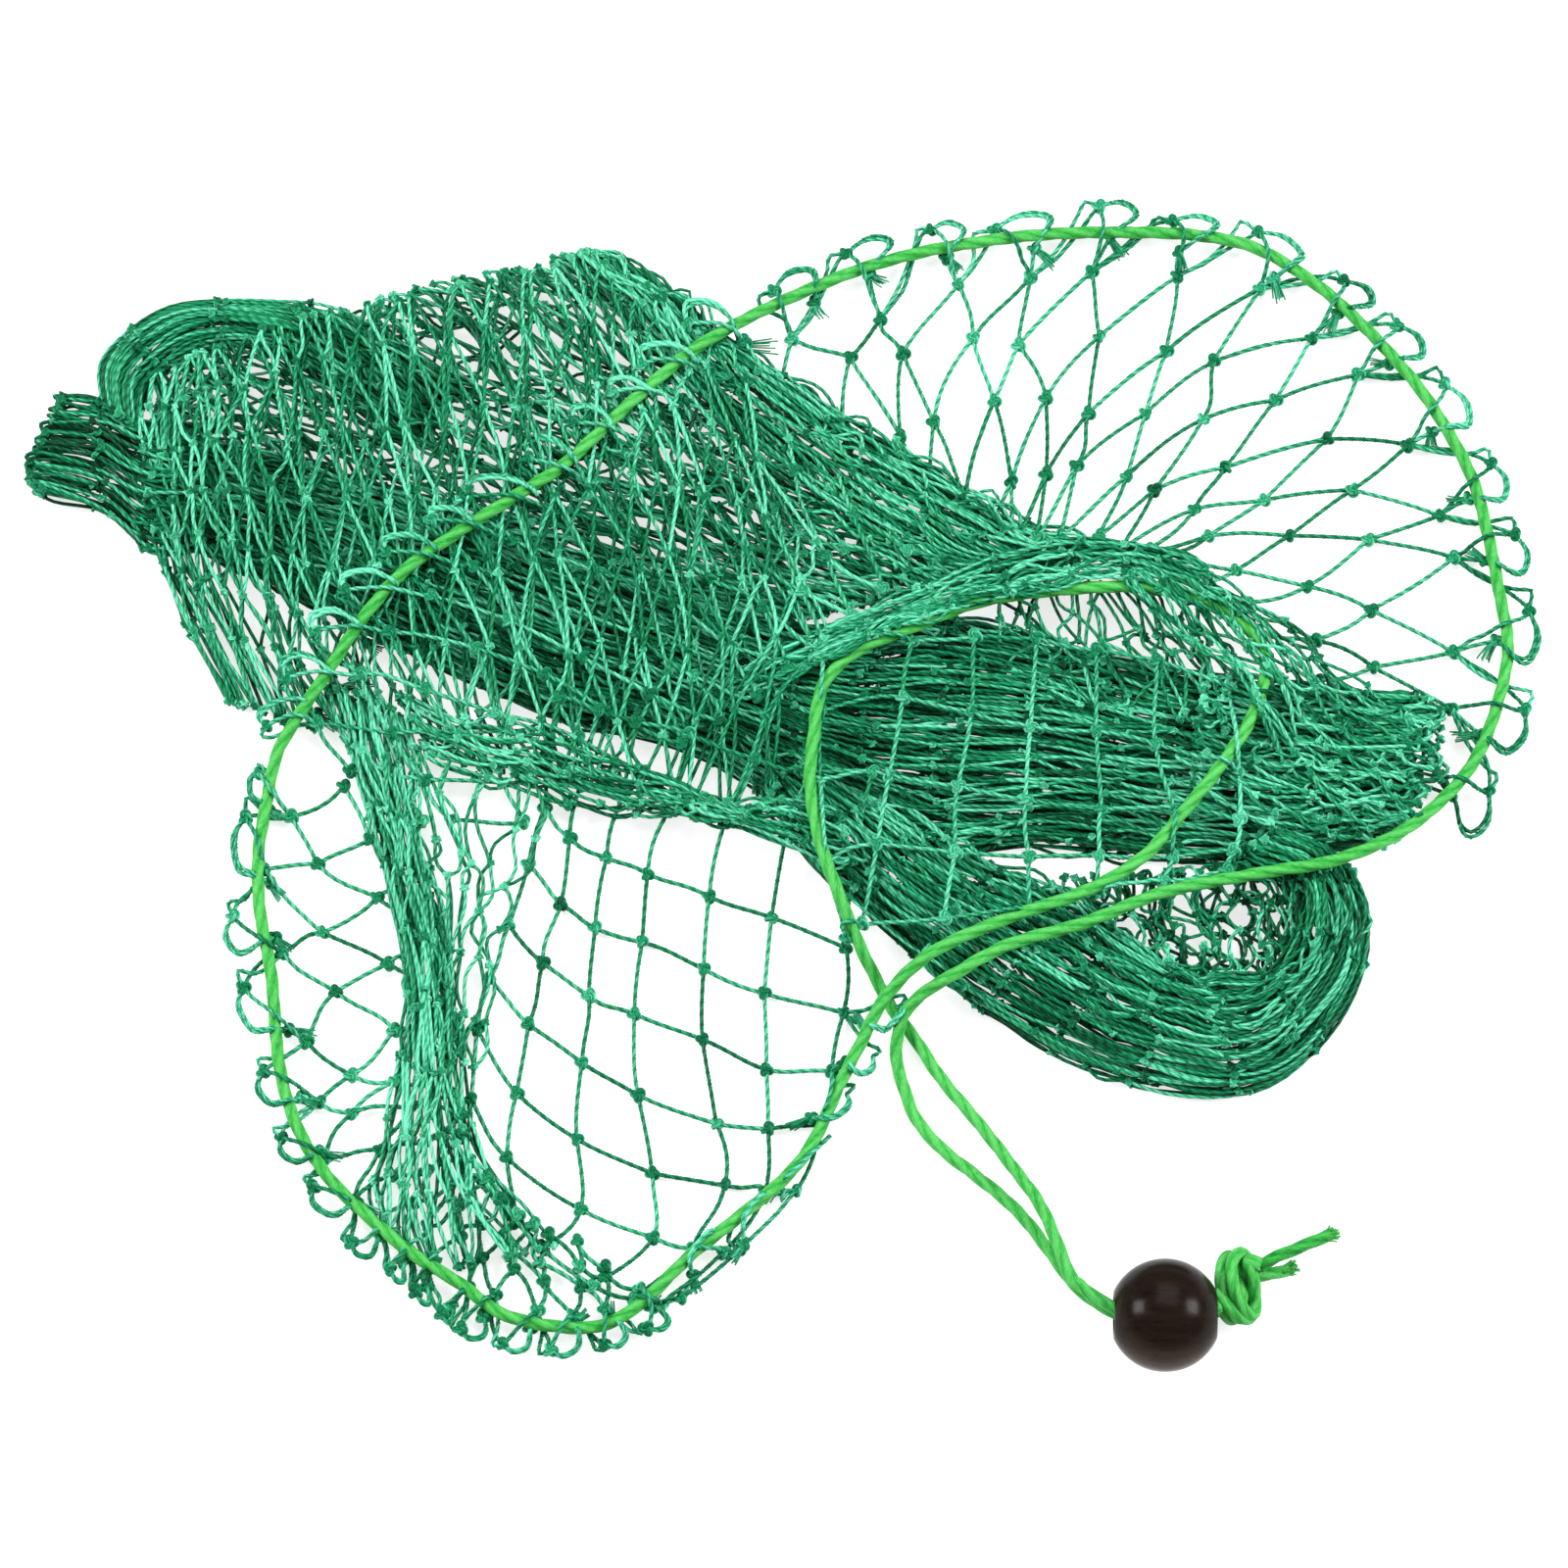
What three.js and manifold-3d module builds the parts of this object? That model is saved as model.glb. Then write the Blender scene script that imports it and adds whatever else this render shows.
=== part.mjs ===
// A knotted drawstring net bag lying in a loose heap, with a wooden bead on its two cord tails.
// Millimetres, +Z up. The origin is under the middle of the heap, on the surface it lies on.
import * as THREE from 'three';
import { mergeVertices } from 'three/addons/utils/BufferGeometryUtils.js';
import Module from 'manifold-3d';

const wasm = await Module();
wasm.setup();

// Driving dimensions.
const CORD_DIAMETER = 2.1;
const TWINE_LAYER = 1.6;          // one layer of netting, knots included
const GAP = 0.35;                 // kept between neighbouring solids
const SOFT_EDGE = 0.9;            // rounding of a slab of netting
const BEAD_RADIUS = 8.45;
const BEAD_HALF_LENGTH = 7.65;    // along the bore
const BORE_RADIUS = 2.9;
const BORE_CHAMFER = 0.35;
const BEAD_CENTRE = [57.3, -90.4, BEAD_RADIUS];
const BEND_RADIUS = 18;           // of the paired tails as they pass through the bead
const BEND_OFFSET = 0.87;         // half the height of that bend inside the bore
const PAIR_SPACING = 2.4;         // the two tails lie one above the other in the bore
const BEND_FROM = -27;            // degrees, at the stop knot
const BEND_TO = 60;               // degrees, where the tails part
const KNOT_CENTRE = [68.6, -85.3, 5.2];
const KNOT_HALF_SIZE = [3.3, 6.2, 5.2];

// Heights of the folded netting, from the surface up.
const BUNDLE_TOP = 7.0;
const LOBE_TOP = 7.0;
const SHOULDER_TOP = 4.5;
const SKIRT_TOP = 4.0;
const ARC_FOLD_TOP = 6.0;
const COLLAR_TOP = 5.0;
const STRAND_TOP = 5.0;
const BRIDGE_TOP = 8.2;

// Colours.
const TWINE_GREEN = 0x159a62;
const DEEP_GREEN = 0x0b7a4c;
const CORD_LIME = 0x4fd532;
const BEAD_BROWN = 0x3a241a;

// Outlines of the netting's regions, seen from above, anticlockwise or clockwise alike.
const BUNDLE = [
  [-98.5, 54], [-76, 48.5], [-53, 42], [-30, 34], [-14.5, 27.5], [0.5, 21], [12.5, 21.5],
  [31, 27.5], [46, 34], [67.5, 28], [82.5, 19.5], [96.5, 10], [101, 4], [99.5, -5],
  [93.5, -12], [81.5, -15], [60.5, -17], [39.5, -19.5], [23, -17], [9.5, -11], [-2.5, -3],
  [-16, 3.5], [-31, 8], [-49.5, 16.5], [-68, 25], [-83, 32.5], [-98, 40],
];
const SHOULDER = [
  [-96, 56.5], [-89.5, 69.5], [-76.5, 73.5], [-66, 77.5], [-52, 80], [-36.5, 83.5],
  [-30.5, 85.5], [-26, 83.5], [-18, 77], [-8.5, 70.5], [0.5, 64.5], [11, 56], [25, 46],
  [37, 39], [44, 35.5], [31, 30], [12.5, 24], [0.5, 24], [-14.5, 30], [-30, 36.5],
  [-53, 45], [-76, 51.5],
];
const ARC_FOLD = [
  [-109.5, 61], [-105.5, 68], [-100, 73.5], [-93.5, 76.8], [-83.5, 78], [-76, 77.2],
  [-74.5, 75], [-79, 73], [-90, 70.5], [-95, 66], [-97, 61], [-101, 58], [-107, 57.5],
];
const COLLAR = [
  [-117, 47.5], [-116, 54.5], [-113, 61], [-107, 58.5], [-101, 56], [-99.5, 54],
  [-99.5, 40], [-103.5, 41.5], [-111, 44], [-115.5, 45],
];
const SKIRT = [
  [-97.5, 37.5], [-83, 31], [-68, 23.5], [-49.5, 14.5], [-31, 6.5], [-16, 1.5],
  [-4, -4.5], [-9.5, -10], [-23.5, -9.5], [-41.5, -5], [-55.5, 0], [-69, 4.5],
  [-81, 7], [-88, 10.5], [-91, 15.5], [-95, 25.5],
];
const LOBE = [
  [-1.5, -7], [9.5, -14.5], [23, -20.5], [39.5, -23], [60.5, -20.5], [81.5, -18.5],
  [86.5, -19], [89.5, -27], [88.5, -36.5], [80, -49], [67, -55], [57, -53.5],
  [42, -48.5], [30.5, -41], [18.5, -31.5], [8, -20.5],
];
const RIGHT_MOUTH = [
  [-7.5, 73.5], [-3.5, 81], [8.5, 87], [22, 91.5], [38, 94.5], [53.5, 95.5], [69, 94.5],
  [83.5, 88], [95.5, 78], [104.5, 67], [112, 54.5], [115.5, 41], [117, 22.5],
  [115.5, 8.5], [111, -3.5], [104.5, -10.5], [103, -3.5], [103.5, 5.5], [98.5, 12.5],
  [82.5, 22.5], [67.5, 31], [48, 37], [38, 40.5], [25, 48.5], [11.5, 58.5], [0.5, 66.5],
];
const LEFT_MOUTH = [
  [-81.5, 5.5], [-84.5, -6.5], [-85.5, -19.5], [-84, -35.5], [-80, -51], [-75, -62.5],
  [-68, -74], [-58.5, -85.5], [-48, -91.5], [-36, -95.5], [-23, -93], [-13.5, -87],
  [-5.5, -78.5], [5, -69.5], [10.5, -60.5], [13, -52], [12.5, -43], [10.5, -33],
  [8, -22], [0.5, -12.5], [-9.5, -11.5], [-23.5, -11], [-41.5, -6.5], [-57, -1.5],
  [-70.5, 3],
];
const GATHERED_STRAND = [
  [-72, -2.5], [-68, 0], [-62, -4], [-56, -12], [-51, -28], [-48, -48.5], [-41, -67],
  [-35, -79], [-39, -82], [-46.5, -71.5], [-53, -56.5], [-57, -36], [-60, -20],
  [-67, -10.5],
];
const BRIDGE = [
  [8, 19], [31, 24.5], [46, 28], [61, 26.5], [74.5, 20], [78, 10.5], [74, -4],
  [66.5, -15], [57, -21.5], [45.5, -25.5], [30.5, -29.5], [19, -31.5], [12.5, -26.5],
  [8, -13.5], [6, 0.5],
];

// The drawstring's route, from the crossing over the lobe, round the mouth to the crossing again.
const MOUTH_ROUTE = [
  [26, -37.3, 9.4], [34.5, -32.5, 9.6], [46, -29, 9.6], [58.5, -24, 9.6], [73, -21, 9.6],
  [84, -19, 9.6], [94, -14.5, 9], [102, -7, 5.6], [107.5, 1, 3.2], [111, 10.5, 3],
  [112.5, 18.5, 3], [111.5, 27, 3], [110, 37, 3], [107.5, 47.5, 3], [101.5, 59.5, 3],
  [94.5, 69, 3], [85.5, 78.5, 3], [75.5, 85.5, 3], [65.5, 88, 3], [53, 88.5, 3],
  [40, 88, 3], [26.5, 86, 3], [16.5, 83.5, 3], [8.5, 80.5, 3], [-0.5, 76, 3.6],
  [-8, 71, 5.6], [-15, 66, 6.1], [-24.5, 57, 6.1], [-33.5, 47.5, 6.8], [-41, 41.5, 8.4],
  [-51, 34.5, 8.6], [-58.5, 28.5, 8.6], [-64.5, 21, 8.2], [-69.5, 13.5, 6.4],
  [-74.5, 5.5, 5.6], [-77.5, 0, 4.2], [-79, -7.5, 3], [-80, -16, 3], [-79.5, -25, 3],
  [-77.5, -35.5, 3], [-76, -49.5, 3], [-73, -59.5, 3], [-68, -67.5, 3], [-61.5, -74, 3],
  [-55, -79.5, 3], [-48, -84, 3], [-42, -88.5, 3], [-34.5, -90.5, 3], [-27, -90.5, 3],
  [-21, -87, 3], [-13.5, -79.5, 3], [-7.5, -74.5, 3], [0.5, -67.5, 3], [5, -61.5, 3],
  [9, -52.5, 3.2], [12.3, -46, 4],
];
const INNER_LOOP_ROUTE = [
  [12.8, -45.2, 4.2], [16, -39.5, 6], [23, -33.5, 9], [34.5, -28.2, 9.6], [46, -24, 9.6],
  [55, -18.5, 9.6], [61.5, -11, 9.6], [68, -2.5, 9.6], [72.5, 5, 9.6], [74.5, 12.5, 9.6],
  [73, 17.5, 9.6], [67, 22.5, 9.6], [57.5, 25.5, 9.6], [46, 25.5, 9.6], [31.5, 23.5, 9.6],
  [20, 19, 9.6], [11.5, 15, 9.6], [6.5, 9.5, 9.6], [5, 1, 9.6], [4.5, -7, 9.6],
  [6, -16, 9.6], [9, -24.5, 8.6], [12, -31, 4.8], [15, -36, 1.6],
];
const UPPER_TAIL_ROUTE = [
  [15.3, -36.8, 1.5], [17, -40, 1.3], [20.5, -45, 1.4], [24.5, -51.5, 1.8],
  [31.5, -59, 3.4], [36, -67, 6], [39.2, -74, 8.7],
];
const LOWER_TAIL_ROUTE = [
  [25.2, -37.7, 9.1], [21.5, -39.5, 7], [18.5, -42.5, 4.8], [17.5, -47.5, 2.4],
  [18.5, -52, 1.3], [20.5, -57.5, 1.3], [24, -62.5, 1.5], [28.5, -67, 2.2],
  [33, -71.3, 3.6], [37, -76, 5.4],
];
const LONG_END_ROUTE = [[73, -81.6, 7.6], [77.5, -79.6, 7.2], [82.3, -77.3, 6.4]];
const SHORT_END_ROUTE = [[72.9, -84.6, 4.6], [74.4, -83.4, 4.4], [75.9, -82, 4.2]];

const MOUTH_STEPS = 52;
const INNER_LOOP_STEPS = 22;
const TAIL_STEPS = 12;
const END_STEPS = 2;

function material(colour, roughness) {
  return new THREE.MeshStandardMaterial({ color: colour, roughness, metalness: 0 });
}

function asManifold(geometry) {
  const bare = geometry.clone();
  bare.deleteAttribute('normal');
  bare.deleteAttribute('uv');
  const merged = mergeVertices(bare, 1e-4);
  return new wasm.Manifold(new wasm.Mesh({
    numProp: 3,
    vertProperties: new Float32Array(merged.attributes.position.array),
    triVerts: new Uint32Array(merged.index.array),
  }));
}

function asGeometry(manifold) {
  const { numProp, vertProperties, triVerts } = manifold.getMesh();
  const geometry = new THREE.BufferGeometry();
  geometry.setAttribute('position', new THREE.BufferAttribute(vertProperties, numProp));
  geometry.setIndex(new THREE.BufferAttribute(triVerts, 1));
  geometry.computeVertexNormals();
  return geometry;
}

function smoothShape(outline) {
  const corners = outline.map(([x, y]) => new THREE.Vector3(x, y, 0));
  const border = new THREE.CatmullRomCurve3(corners, true, 'centripetal');
  const points = border.getPoints(outline.length * 2).slice(0, -1);
  return new THREE.Shape(points.map((p) => new THREE.Vector2(p.x, p.y)));
}

// A soft slab of netting with a rounded rim, between two heights.
function slab(outline, bottom, top) {
  const edge = Math.min(SOFT_EDGE, (top - bottom) * 0.3);
  const geometry = new THREE.ExtrudeGeometry(smoothShape(outline), {
    depth: top - bottom - 2 * edge,
    bevelEnabled: true,
    bevelThickness: edge,
    bevelSize: edge,
    bevelOffset: -edge,
    bevelSegments: 1,
  });
  geometry.translate(0, 0, bottom + edge);
  return asManifold(geometry);
}

// The same region grown by the gap, used to cut its neighbours clear of it.
function cutter(outline, top) {
  const geometry = new THREE.ExtrudeGeometry(smoothShape(outline), {
    depth: top,
    bevelEnabled: true,
    bevelThickness: GAP,
    bevelSize: GAP,
    bevelSegments: 1,
  });
  return asManifold(geometry);
}

function largestPiece(manifold) {
  const pieces = manifold.decompose();
  return pieces.reduce((best, piece) => (piece.volume() > best.volume() ? piece : best));
}

function netRegion(name, outline, bottom, top, colour, neighbours = []) {
  let solid = slab(outline, bottom, top);
  for (const [other, otherTop] of neighbours) {
    solid = solid.subtract(cutter(other, otherTop));
  }
  const mesh = new THREE.Mesh(asGeometry(largestPiece(solid)), material(colour, 0.7));
  mesh.name = name;
  return mesh;
}

function cordPiece(name, route, steps) {
  const corners = route.map((p) => new THREE.Vector3(...p));
  const radius = CORD_DIAMETER / 2;
  const section = new THREE.Shape();
  const sides = 8;
  for (let i = 0; i < sides; i += 1) {
    const turn = (i / sides) * 2 * Math.PI;
    const place = [radius * Math.cos(turn), radius * Math.sin(turn)];
    if (i === 0) section.moveTo(...place);
    else section.lineTo(...place);
  }
  section.closePath();
  const extrudePath = new THREE.CatmullRomCurve3(corners, false, 'centripetal');
  const geometry = new THREE.ExtrudeGeometry(section, { steps, extrudePath });
  const mesh = new THREE.Mesh(geometry, material(CORD_LIME, 0.5));
  mesh.name = name;
  return mesh;
}

// The bend that both tails follow through the bead: a level arc about an upright axis.
function bendPoint(degrees, height) {
  const turn = THREE.MathUtils.degToRad(degrees);
  const [x, y, z] = BEAD_CENTRE;
  return [
    x - BEND_RADIUS * Math.sin(turn),
    y - BEND_OFFSET + BEND_RADIUS * (1 - Math.cos(turn)),
    z + height,
  ];
}

function bend(height, steps = 9) {
  const points = [];
  for (let i = 0; i <= steps; i += 1) {
    points.push(bendPoint(BEND_TO + (BEND_FROM - BEND_TO) * (i / steps), height));
  }
  return points;
}

function bead() {
  const profile = [
    [BORE_RADIUS, -BEAD_HALF_LENGTH + BORE_CHAMFER],
    [BORE_RADIUS + BORE_CHAMFER, -BEAD_HALF_LENGTH],
  ];
  const faceTurn = Math.asin(BEAD_HALF_LENGTH / BEAD_RADIUS);
  const arcSteps = 12;
  for (let i = 0; i <= arcSteps; i += 1) {
    const turn = faceTurn * ((2 * i) / arcSteps - 1);
    profile.push([BEAD_RADIUS * Math.cos(turn), BEAD_RADIUS * Math.sin(turn)]);
  }
  profile.push([BORE_RADIUS + BORE_CHAMFER, BEAD_HALF_LENGTH]);
  profile.push([BORE_RADIUS, BEAD_HALF_LENGTH - BORE_CHAMFER]);
  profile.push(profile[0]);
  const section = profile.map(([r, y]) => new THREE.Vector2(r, y));
  const mesh = new THREE.Mesh(new THREE.LatheGeometry(section, 32), material(BEAD_BROWN, 0.35));
  mesh.name = 'bead';
  mesh.position.set(...BEAD_CENTRE);
  mesh.rotation.z = -Math.PI / 2;
  return mesh;
}

function stopKnot() {
  const geometry = new THREE.SphereGeometry(1, 16, 10);
  geometry.scale(...KNOT_HALF_SIZE);
  const mesh = new THREE.Mesh(geometry, material(CORD_LIME, 0.5));
  mesh.name = 'stop_knot';
  mesh.position.set(...KNOT_CENTRE);
  return mesh;
}

const netting = new THREE.Group();
netting.add(netRegion('net_bundle', BUNDLE, 0, BUNDLE_TOP, DEEP_GREEN));
netting.add(netRegion('net_lobe', LOBE, 0, LOBE_TOP, DEEP_GREEN, [[BUNDLE, BUNDLE_TOP]]));
netting.add(netRegion('net_shoulder', SHOULDER, 0, SHOULDER_TOP, TWINE_GREEN,
  [[BUNDLE, BUNDLE_TOP]]));
netting.add(netRegion('net_skirt', SKIRT, 0, SKIRT_TOP, TWINE_GREEN,
  [[BUNDLE, BUNDLE_TOP], [LOBE, LOBE_TOP]]));
netting.add(netRegion('net_collar', COLLAR, 0, COLLAR_TOP, DEEP_GREEN, [[BUNDLE, BUNDLE_TOP]]));
netting.add(netRegion('net_arc_fold', ARC_FOLD, 0, ARC_FOLD_TOP, DEEP_GREEN,
  [[BUNDLE, BUNDLE_TOP], [SHOULDER, SHOULDER_TOP], [COLLAR, COLLAR_TOP]]));
netting.add(netRegion('net_mouth_right', RIGHT_MOUTH, 0, TWINE_LAYER, TWINE_GREEN,
  [[BUNDLE, BUNDLE_TOP], [SHOULDER, SHOULDER_TOP], [LOBE, LOBE_TOP]]));
netting.add(netRegion('net_mouth_left', LEFT_MOUTH, 0, TWINE_LAYER, TWINE_GREEN,
  [[BUNDLE, BUNDLE_TOP], [SKIRT, SKIRT_TOP], [LOBE, LOBE_TOP]]));
netting.add(netRegion('net_gathered_strand', GATHERED_STRAND, TWINE_LAYER + GAP, STRAND_TOP,
  TWINE_GREEN, [[SKIRT, SKIRT_TOP]]));
netting.add(netRegion('net_bridge', BRIDGE, BUNDLE_TOP + GAP, BRIDGE_TOP, TWINE_GREEN));

const upperTail = [...UPPER_TAIL_ROUTE, ...bend(PAIR_SPACING / 2)];
const lowerTail = [...LOWER_TAIL_ROUTE, ...bend(-PAIR_SPACING / 2)];
const drawstring = new THREE.Group();
drawstring.add(cordPiece('drawstring_mouth', MOUTH_ROUTE, MOUTH_STEPS));
drawstring.add(cordPiece('drawstring_inner_loop', INNER_LOOP_ROUTE, INNER_LOOP_STEPS));
drawstring.add(cordPiece('drawstring_tail_upper', upperTail, TAIL_STEPS));
drawstring.add(cordPiece('drawstring_tail_lower', lowerTail, TAIL_STEPS));
drawstring.add(stopKnot());
drawstring.add(cordPiece('cut_end_long', LONG_END_ROUTE, END_STEPS));
drawstring.add(cordPiece('cut_end_short', SHORT_END_ROUTE, END_STEPS));

const netBag = new THREE.Group();
netBag.add(netting);
netBag.add(drawstring);
netBag.add(bead());

export default netBag;
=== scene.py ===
"""A knotted net bag in a loose heap, its twisted drawstring, a stop knot and a wooden bead."""
import math

import bpy
import numpy as np
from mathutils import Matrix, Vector


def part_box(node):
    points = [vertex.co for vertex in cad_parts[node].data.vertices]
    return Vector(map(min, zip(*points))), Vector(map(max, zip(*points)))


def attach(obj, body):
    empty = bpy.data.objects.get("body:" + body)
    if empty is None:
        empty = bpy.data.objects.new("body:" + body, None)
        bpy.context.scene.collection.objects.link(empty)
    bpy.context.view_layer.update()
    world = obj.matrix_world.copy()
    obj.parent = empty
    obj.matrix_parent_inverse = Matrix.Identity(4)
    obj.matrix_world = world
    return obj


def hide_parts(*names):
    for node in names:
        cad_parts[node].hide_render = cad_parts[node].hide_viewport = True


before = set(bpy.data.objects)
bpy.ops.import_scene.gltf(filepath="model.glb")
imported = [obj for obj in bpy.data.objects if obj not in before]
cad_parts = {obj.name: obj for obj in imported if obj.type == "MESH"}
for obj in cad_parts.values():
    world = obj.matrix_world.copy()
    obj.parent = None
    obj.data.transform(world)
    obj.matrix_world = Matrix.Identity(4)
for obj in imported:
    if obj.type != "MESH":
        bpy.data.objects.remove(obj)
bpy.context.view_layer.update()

MM = 0.001
MESH_BAR = 11.5            # mm, one side of a mesh, from knot to knot
TWINE_RADIUS = 0.3         # mm
OPEN_TWINE_RADIUS = 0.39   # mm, where the twine isn't pressed into a bundle
CORD_RADIUS = 1.0          # mm
CORD_PITCH = 15.0          # mm, one turn of the cord's three strands
CORD_STEP = 0.45           # mm, between two rings of the cord's mesh
THREAD_CLEARANCE = CORD_RADIUS + OPEN_TWINE_RADIUS
CLEAR_REACH = 4.2          # mm, from the cord, where a twine starts to rise over it or dip under it
CLEAR_BATCH = 4000         # points passed over or under the cord at a time, to spare memory
FLOOR_GAP = 0.03           # mm, under the lowest twine
OPEN_KNOT_RISE = 0.7       # mm, of a knot's middle over its twine's lowest place
DENSE_KNOT_RISE = 0.5      # mm
OPEN_STEPS = 22            # spans in the mesh of one bar of netting
DENSE_STEPS = 6
FIBRE_RADIUS = 0.13        # mm, in a cut tail of twine
FIBRE_LOWEST = 0.16        # mm
END_FIBRES = 34            # in a cut end of the cord
END_FIBRE_RADIUS = 0.14    # mm
MOST_BOW = 2.4             # mm, sideways, of a slack bar of the netting
LOWEST_LAYER_PAINTED_SHADE = -0.45       # painted shading: added to a strand's tone in the lowest layer of a fold, less in the layers above, so lower layers are drawn darker
BEAD_RADIUS = 8.45         # mm
BEAD_HALF_LENGTH = 7.65    # mm, along its bore
BEAD_BORE = 2.9            # mm, radius
BEAD_CHAMFER = 0.35        # mm, round both mouths of the bore
BEAD_CENTRE = np.array([57.3, -90.4, BEAD_RADIUS])
BEND_RADIUS = 18.0         # mm, the tails' level bend through the bead
BEND_OFFSET = 0.87         # mm, from the middle of the bore to the bend
BEND_FROM = -27.0          # degrees, at the stop knot
BEND_TO = 52.0             # degrees, where the tails part
PAIR_SPACING = 2.4         # mm, between the two tails
PAINTED_REFLECTION_FROM = -83.6    # mm, across the bead, where the painted reflection of the floor starts
PAINTED_REFLECTION_GAIN = 145.0    # per metre


def level(height, *points):
    """Points that are all at one height."""
    return [(x, y, height) for x, y in points]


# The drawstring's route, in millimetres.
MOUTH_ROUTE = [
    (26, -37.3, 9.4),
    *level(9.6, (34.5, -32.5), (46, -29), (58.5, -24), (73, -21), (84, -19)),
    (94, -14.5, 9), (102, -7, 5.6), (107.5, 1, 3.2),
    *level(3, (111, 10.5), (112.5, 18.5), (111.5, 27), (110, 37), (107.5, 47.5), (101.5, 59.5),
        (94.5, 69), (85.5, 78.5), (75.5, 85.5), (65.5, 88), (53, 88.5), (40, 88), (26.5, 86),
        (16.5, 83.5), (8.5, 80.5)),
    (-0.5, 76, 3.6), (-8, 71, 5.6), (-15, 66, 6.1), (-24.5, 57, 6.1), (-33.5, 47.5, 6.8),
    (-41, 41.5, 8.4), (-51, 34.5, 8.6), (-58.5, 28.5, 8.6), (-64.5, 21, 8.2), (-69.5, 13.5, 6.4),
    (-74.5, 5.5, 5.6), (-77.5, 0, 4.2),
    *level(3, (-79, -7.5), (-80, -16), (-79.5, -25), (-77.5, -35.5), (-76, -49.5), (-73, -59.5),
        (-68, -67.5), (-61.5, -74), (-55, -79.5), (-48, -84), (-42, -88.5), (-34.5, -90.5), (-27, -90.5),
        (-21, -87), (-13.5, -79.5), (-7.5, -74.5), (0.5, -67.5), (5, -61.5)),
    (9, -52.5, 3.2), (12.3, -46, 4),
]
INNER_LOOP_ROUTE = [
    (16, -39.5, 6), (23, -33.5, 9),
    *level(9.6, (34.5, -28.2), (46, -24), (55, -18.5), (61.5, -11), (68, -2.5), (72.5, 5), (74.5, 12.5),
        (73, 17.5), (67, 22.5), (57.5, 25.5), (46, 25.5), (31.5, 23.5), (20, 19), (11.5, 15), (6.5, 9.5),
        (5, 1), (4.5, -7), (6, -16)),
    (9, -24.5, 8.6), (12, -31, 4.8),
]
UPPER_TAIL_ROUTE = [
    (15.3, -36.8, 1.5), (17, -40, 1.3), (20.5, -45, 1.4), (24.5, -51.5, 1.8),
    (30, -59, 3.4), (35.2, -67, 6), (39.2, -74, 8.7),
]
LOWER_TAIL_ROUTE = [
    (21.5, -39.5, 7), (18.5, -42.5, 4.8), (17.5, -47.5, 2.4),
    (18.5, -52, 1.3), (20.5, -57.5, 1.3), (24.3, -62.3, 1.5), (29.2, -66.6, 2.2),
    (33.8, -71, 3.6), (37.6, -75.8, 5.4),
]

# Each fold of the netting is a smooth surface through guide lines, in millimetres.
BUNDLE = [
    [(-99, 54, 3), (-99, 46, 4), (-98, 40, 3)],
    [(-86, 52, 3.5), (-87, 42, 5), (-88, 34, 3)],
    [(-72, 48, 3.5), (-73, 36, 5.5), (-76, 28, 3)],
    [(-53, 42, 3.5), (-55, 28, 5.5), (-58, 18, 3)],
    [(-30, 34, 3.5), (-33, 19, 5.5), (-36, 8, 3)],
    [(-12, 27, 3.5), (-13, 12, 6), (-16, 2, 3)],
    [(5, 22, 3.5), (5, 6, 6), (4, -8, 3)],
    [(24, 24, 3.5), (24, 4, 6), (22, -15, 3)],
    [(42, 19, 3.5), (44, 8, 6), (41, -14, 3)],
    [(64, 14, 3.5), (63, 4, 6), (60, -16, 3)],
    [(80, 12, 3.5), (81, 1, 6), (78, -16, 3)],
    [(98, 10, 3), (101, 6, 4), (96, 1, 5), (98, -4, 4.5), (93, -12, 3)],
]
LOBE = [
    [(-4, -4, 3), (0, -4, 5), (5, 0, 3)],
    [(6, -18, 2), (12, -15, 6), (20, -9, 3)],
    [(18, -30, 2), (25, -24, 6), (32, -17, 3)],
    [(32, -41, 2), (38, -35, 6.5), (44, -22, 3)],
    [(45, -49, 2), (50, -40, 7), (52, -28, 3)],
    [(58, -53, 2), (60, -44, 7.5), (60, -34, 3)],
    [(70, -54, 2), (68, -46, 7.5), (66, -36, 4)],
    [(80, -48, 2), (74, -42, 7.5), (72, -36, 4)],
    [(88, -36, 2), (81, -34, 7.5), (76, -33, 4)],
    [(90, -26, 2), (82, -26, 7.5), (78, -26, 4)],
    [(86, -16, 2.5), (80, -19, 7), (76, -20, 4)],
    [(77, -12, 4), (73, -15, 6), (68, -18, 4)],
]
SHOULDER = [
    [(-97, 62, 2), (-98, 57, 3), (-98, 53, 2)],
    [(-90, 72, 1), (-90, 61, 3.5), (-88, 50, 3.5)],
    [(-75, 75, 1), (-74, 61, 3.5), (-73, 48, 4)],
    [(-62, 78, 1), (-60, 61, 3.5), (-56, 42, 4)],
    [(-46, 82, 1), (-42, 60, 4), (-36, 36, 4)],
    [(-30, 84, 2), (-26, 60, 4), (-16, 30, 4)],
    [(-16, 76, 1.5), (-8, 54, 4), (2, 24, 4)],
    [(-2, 66, 1.5), (6, 48, 4), (16, 23, 4)],
    [(13, 56, 1.5), (20, 41, 4), (28, 28, 4)],
    [(31, 42, 1.5), (36, 37, 3), (40, 30, 3)],
]
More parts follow.
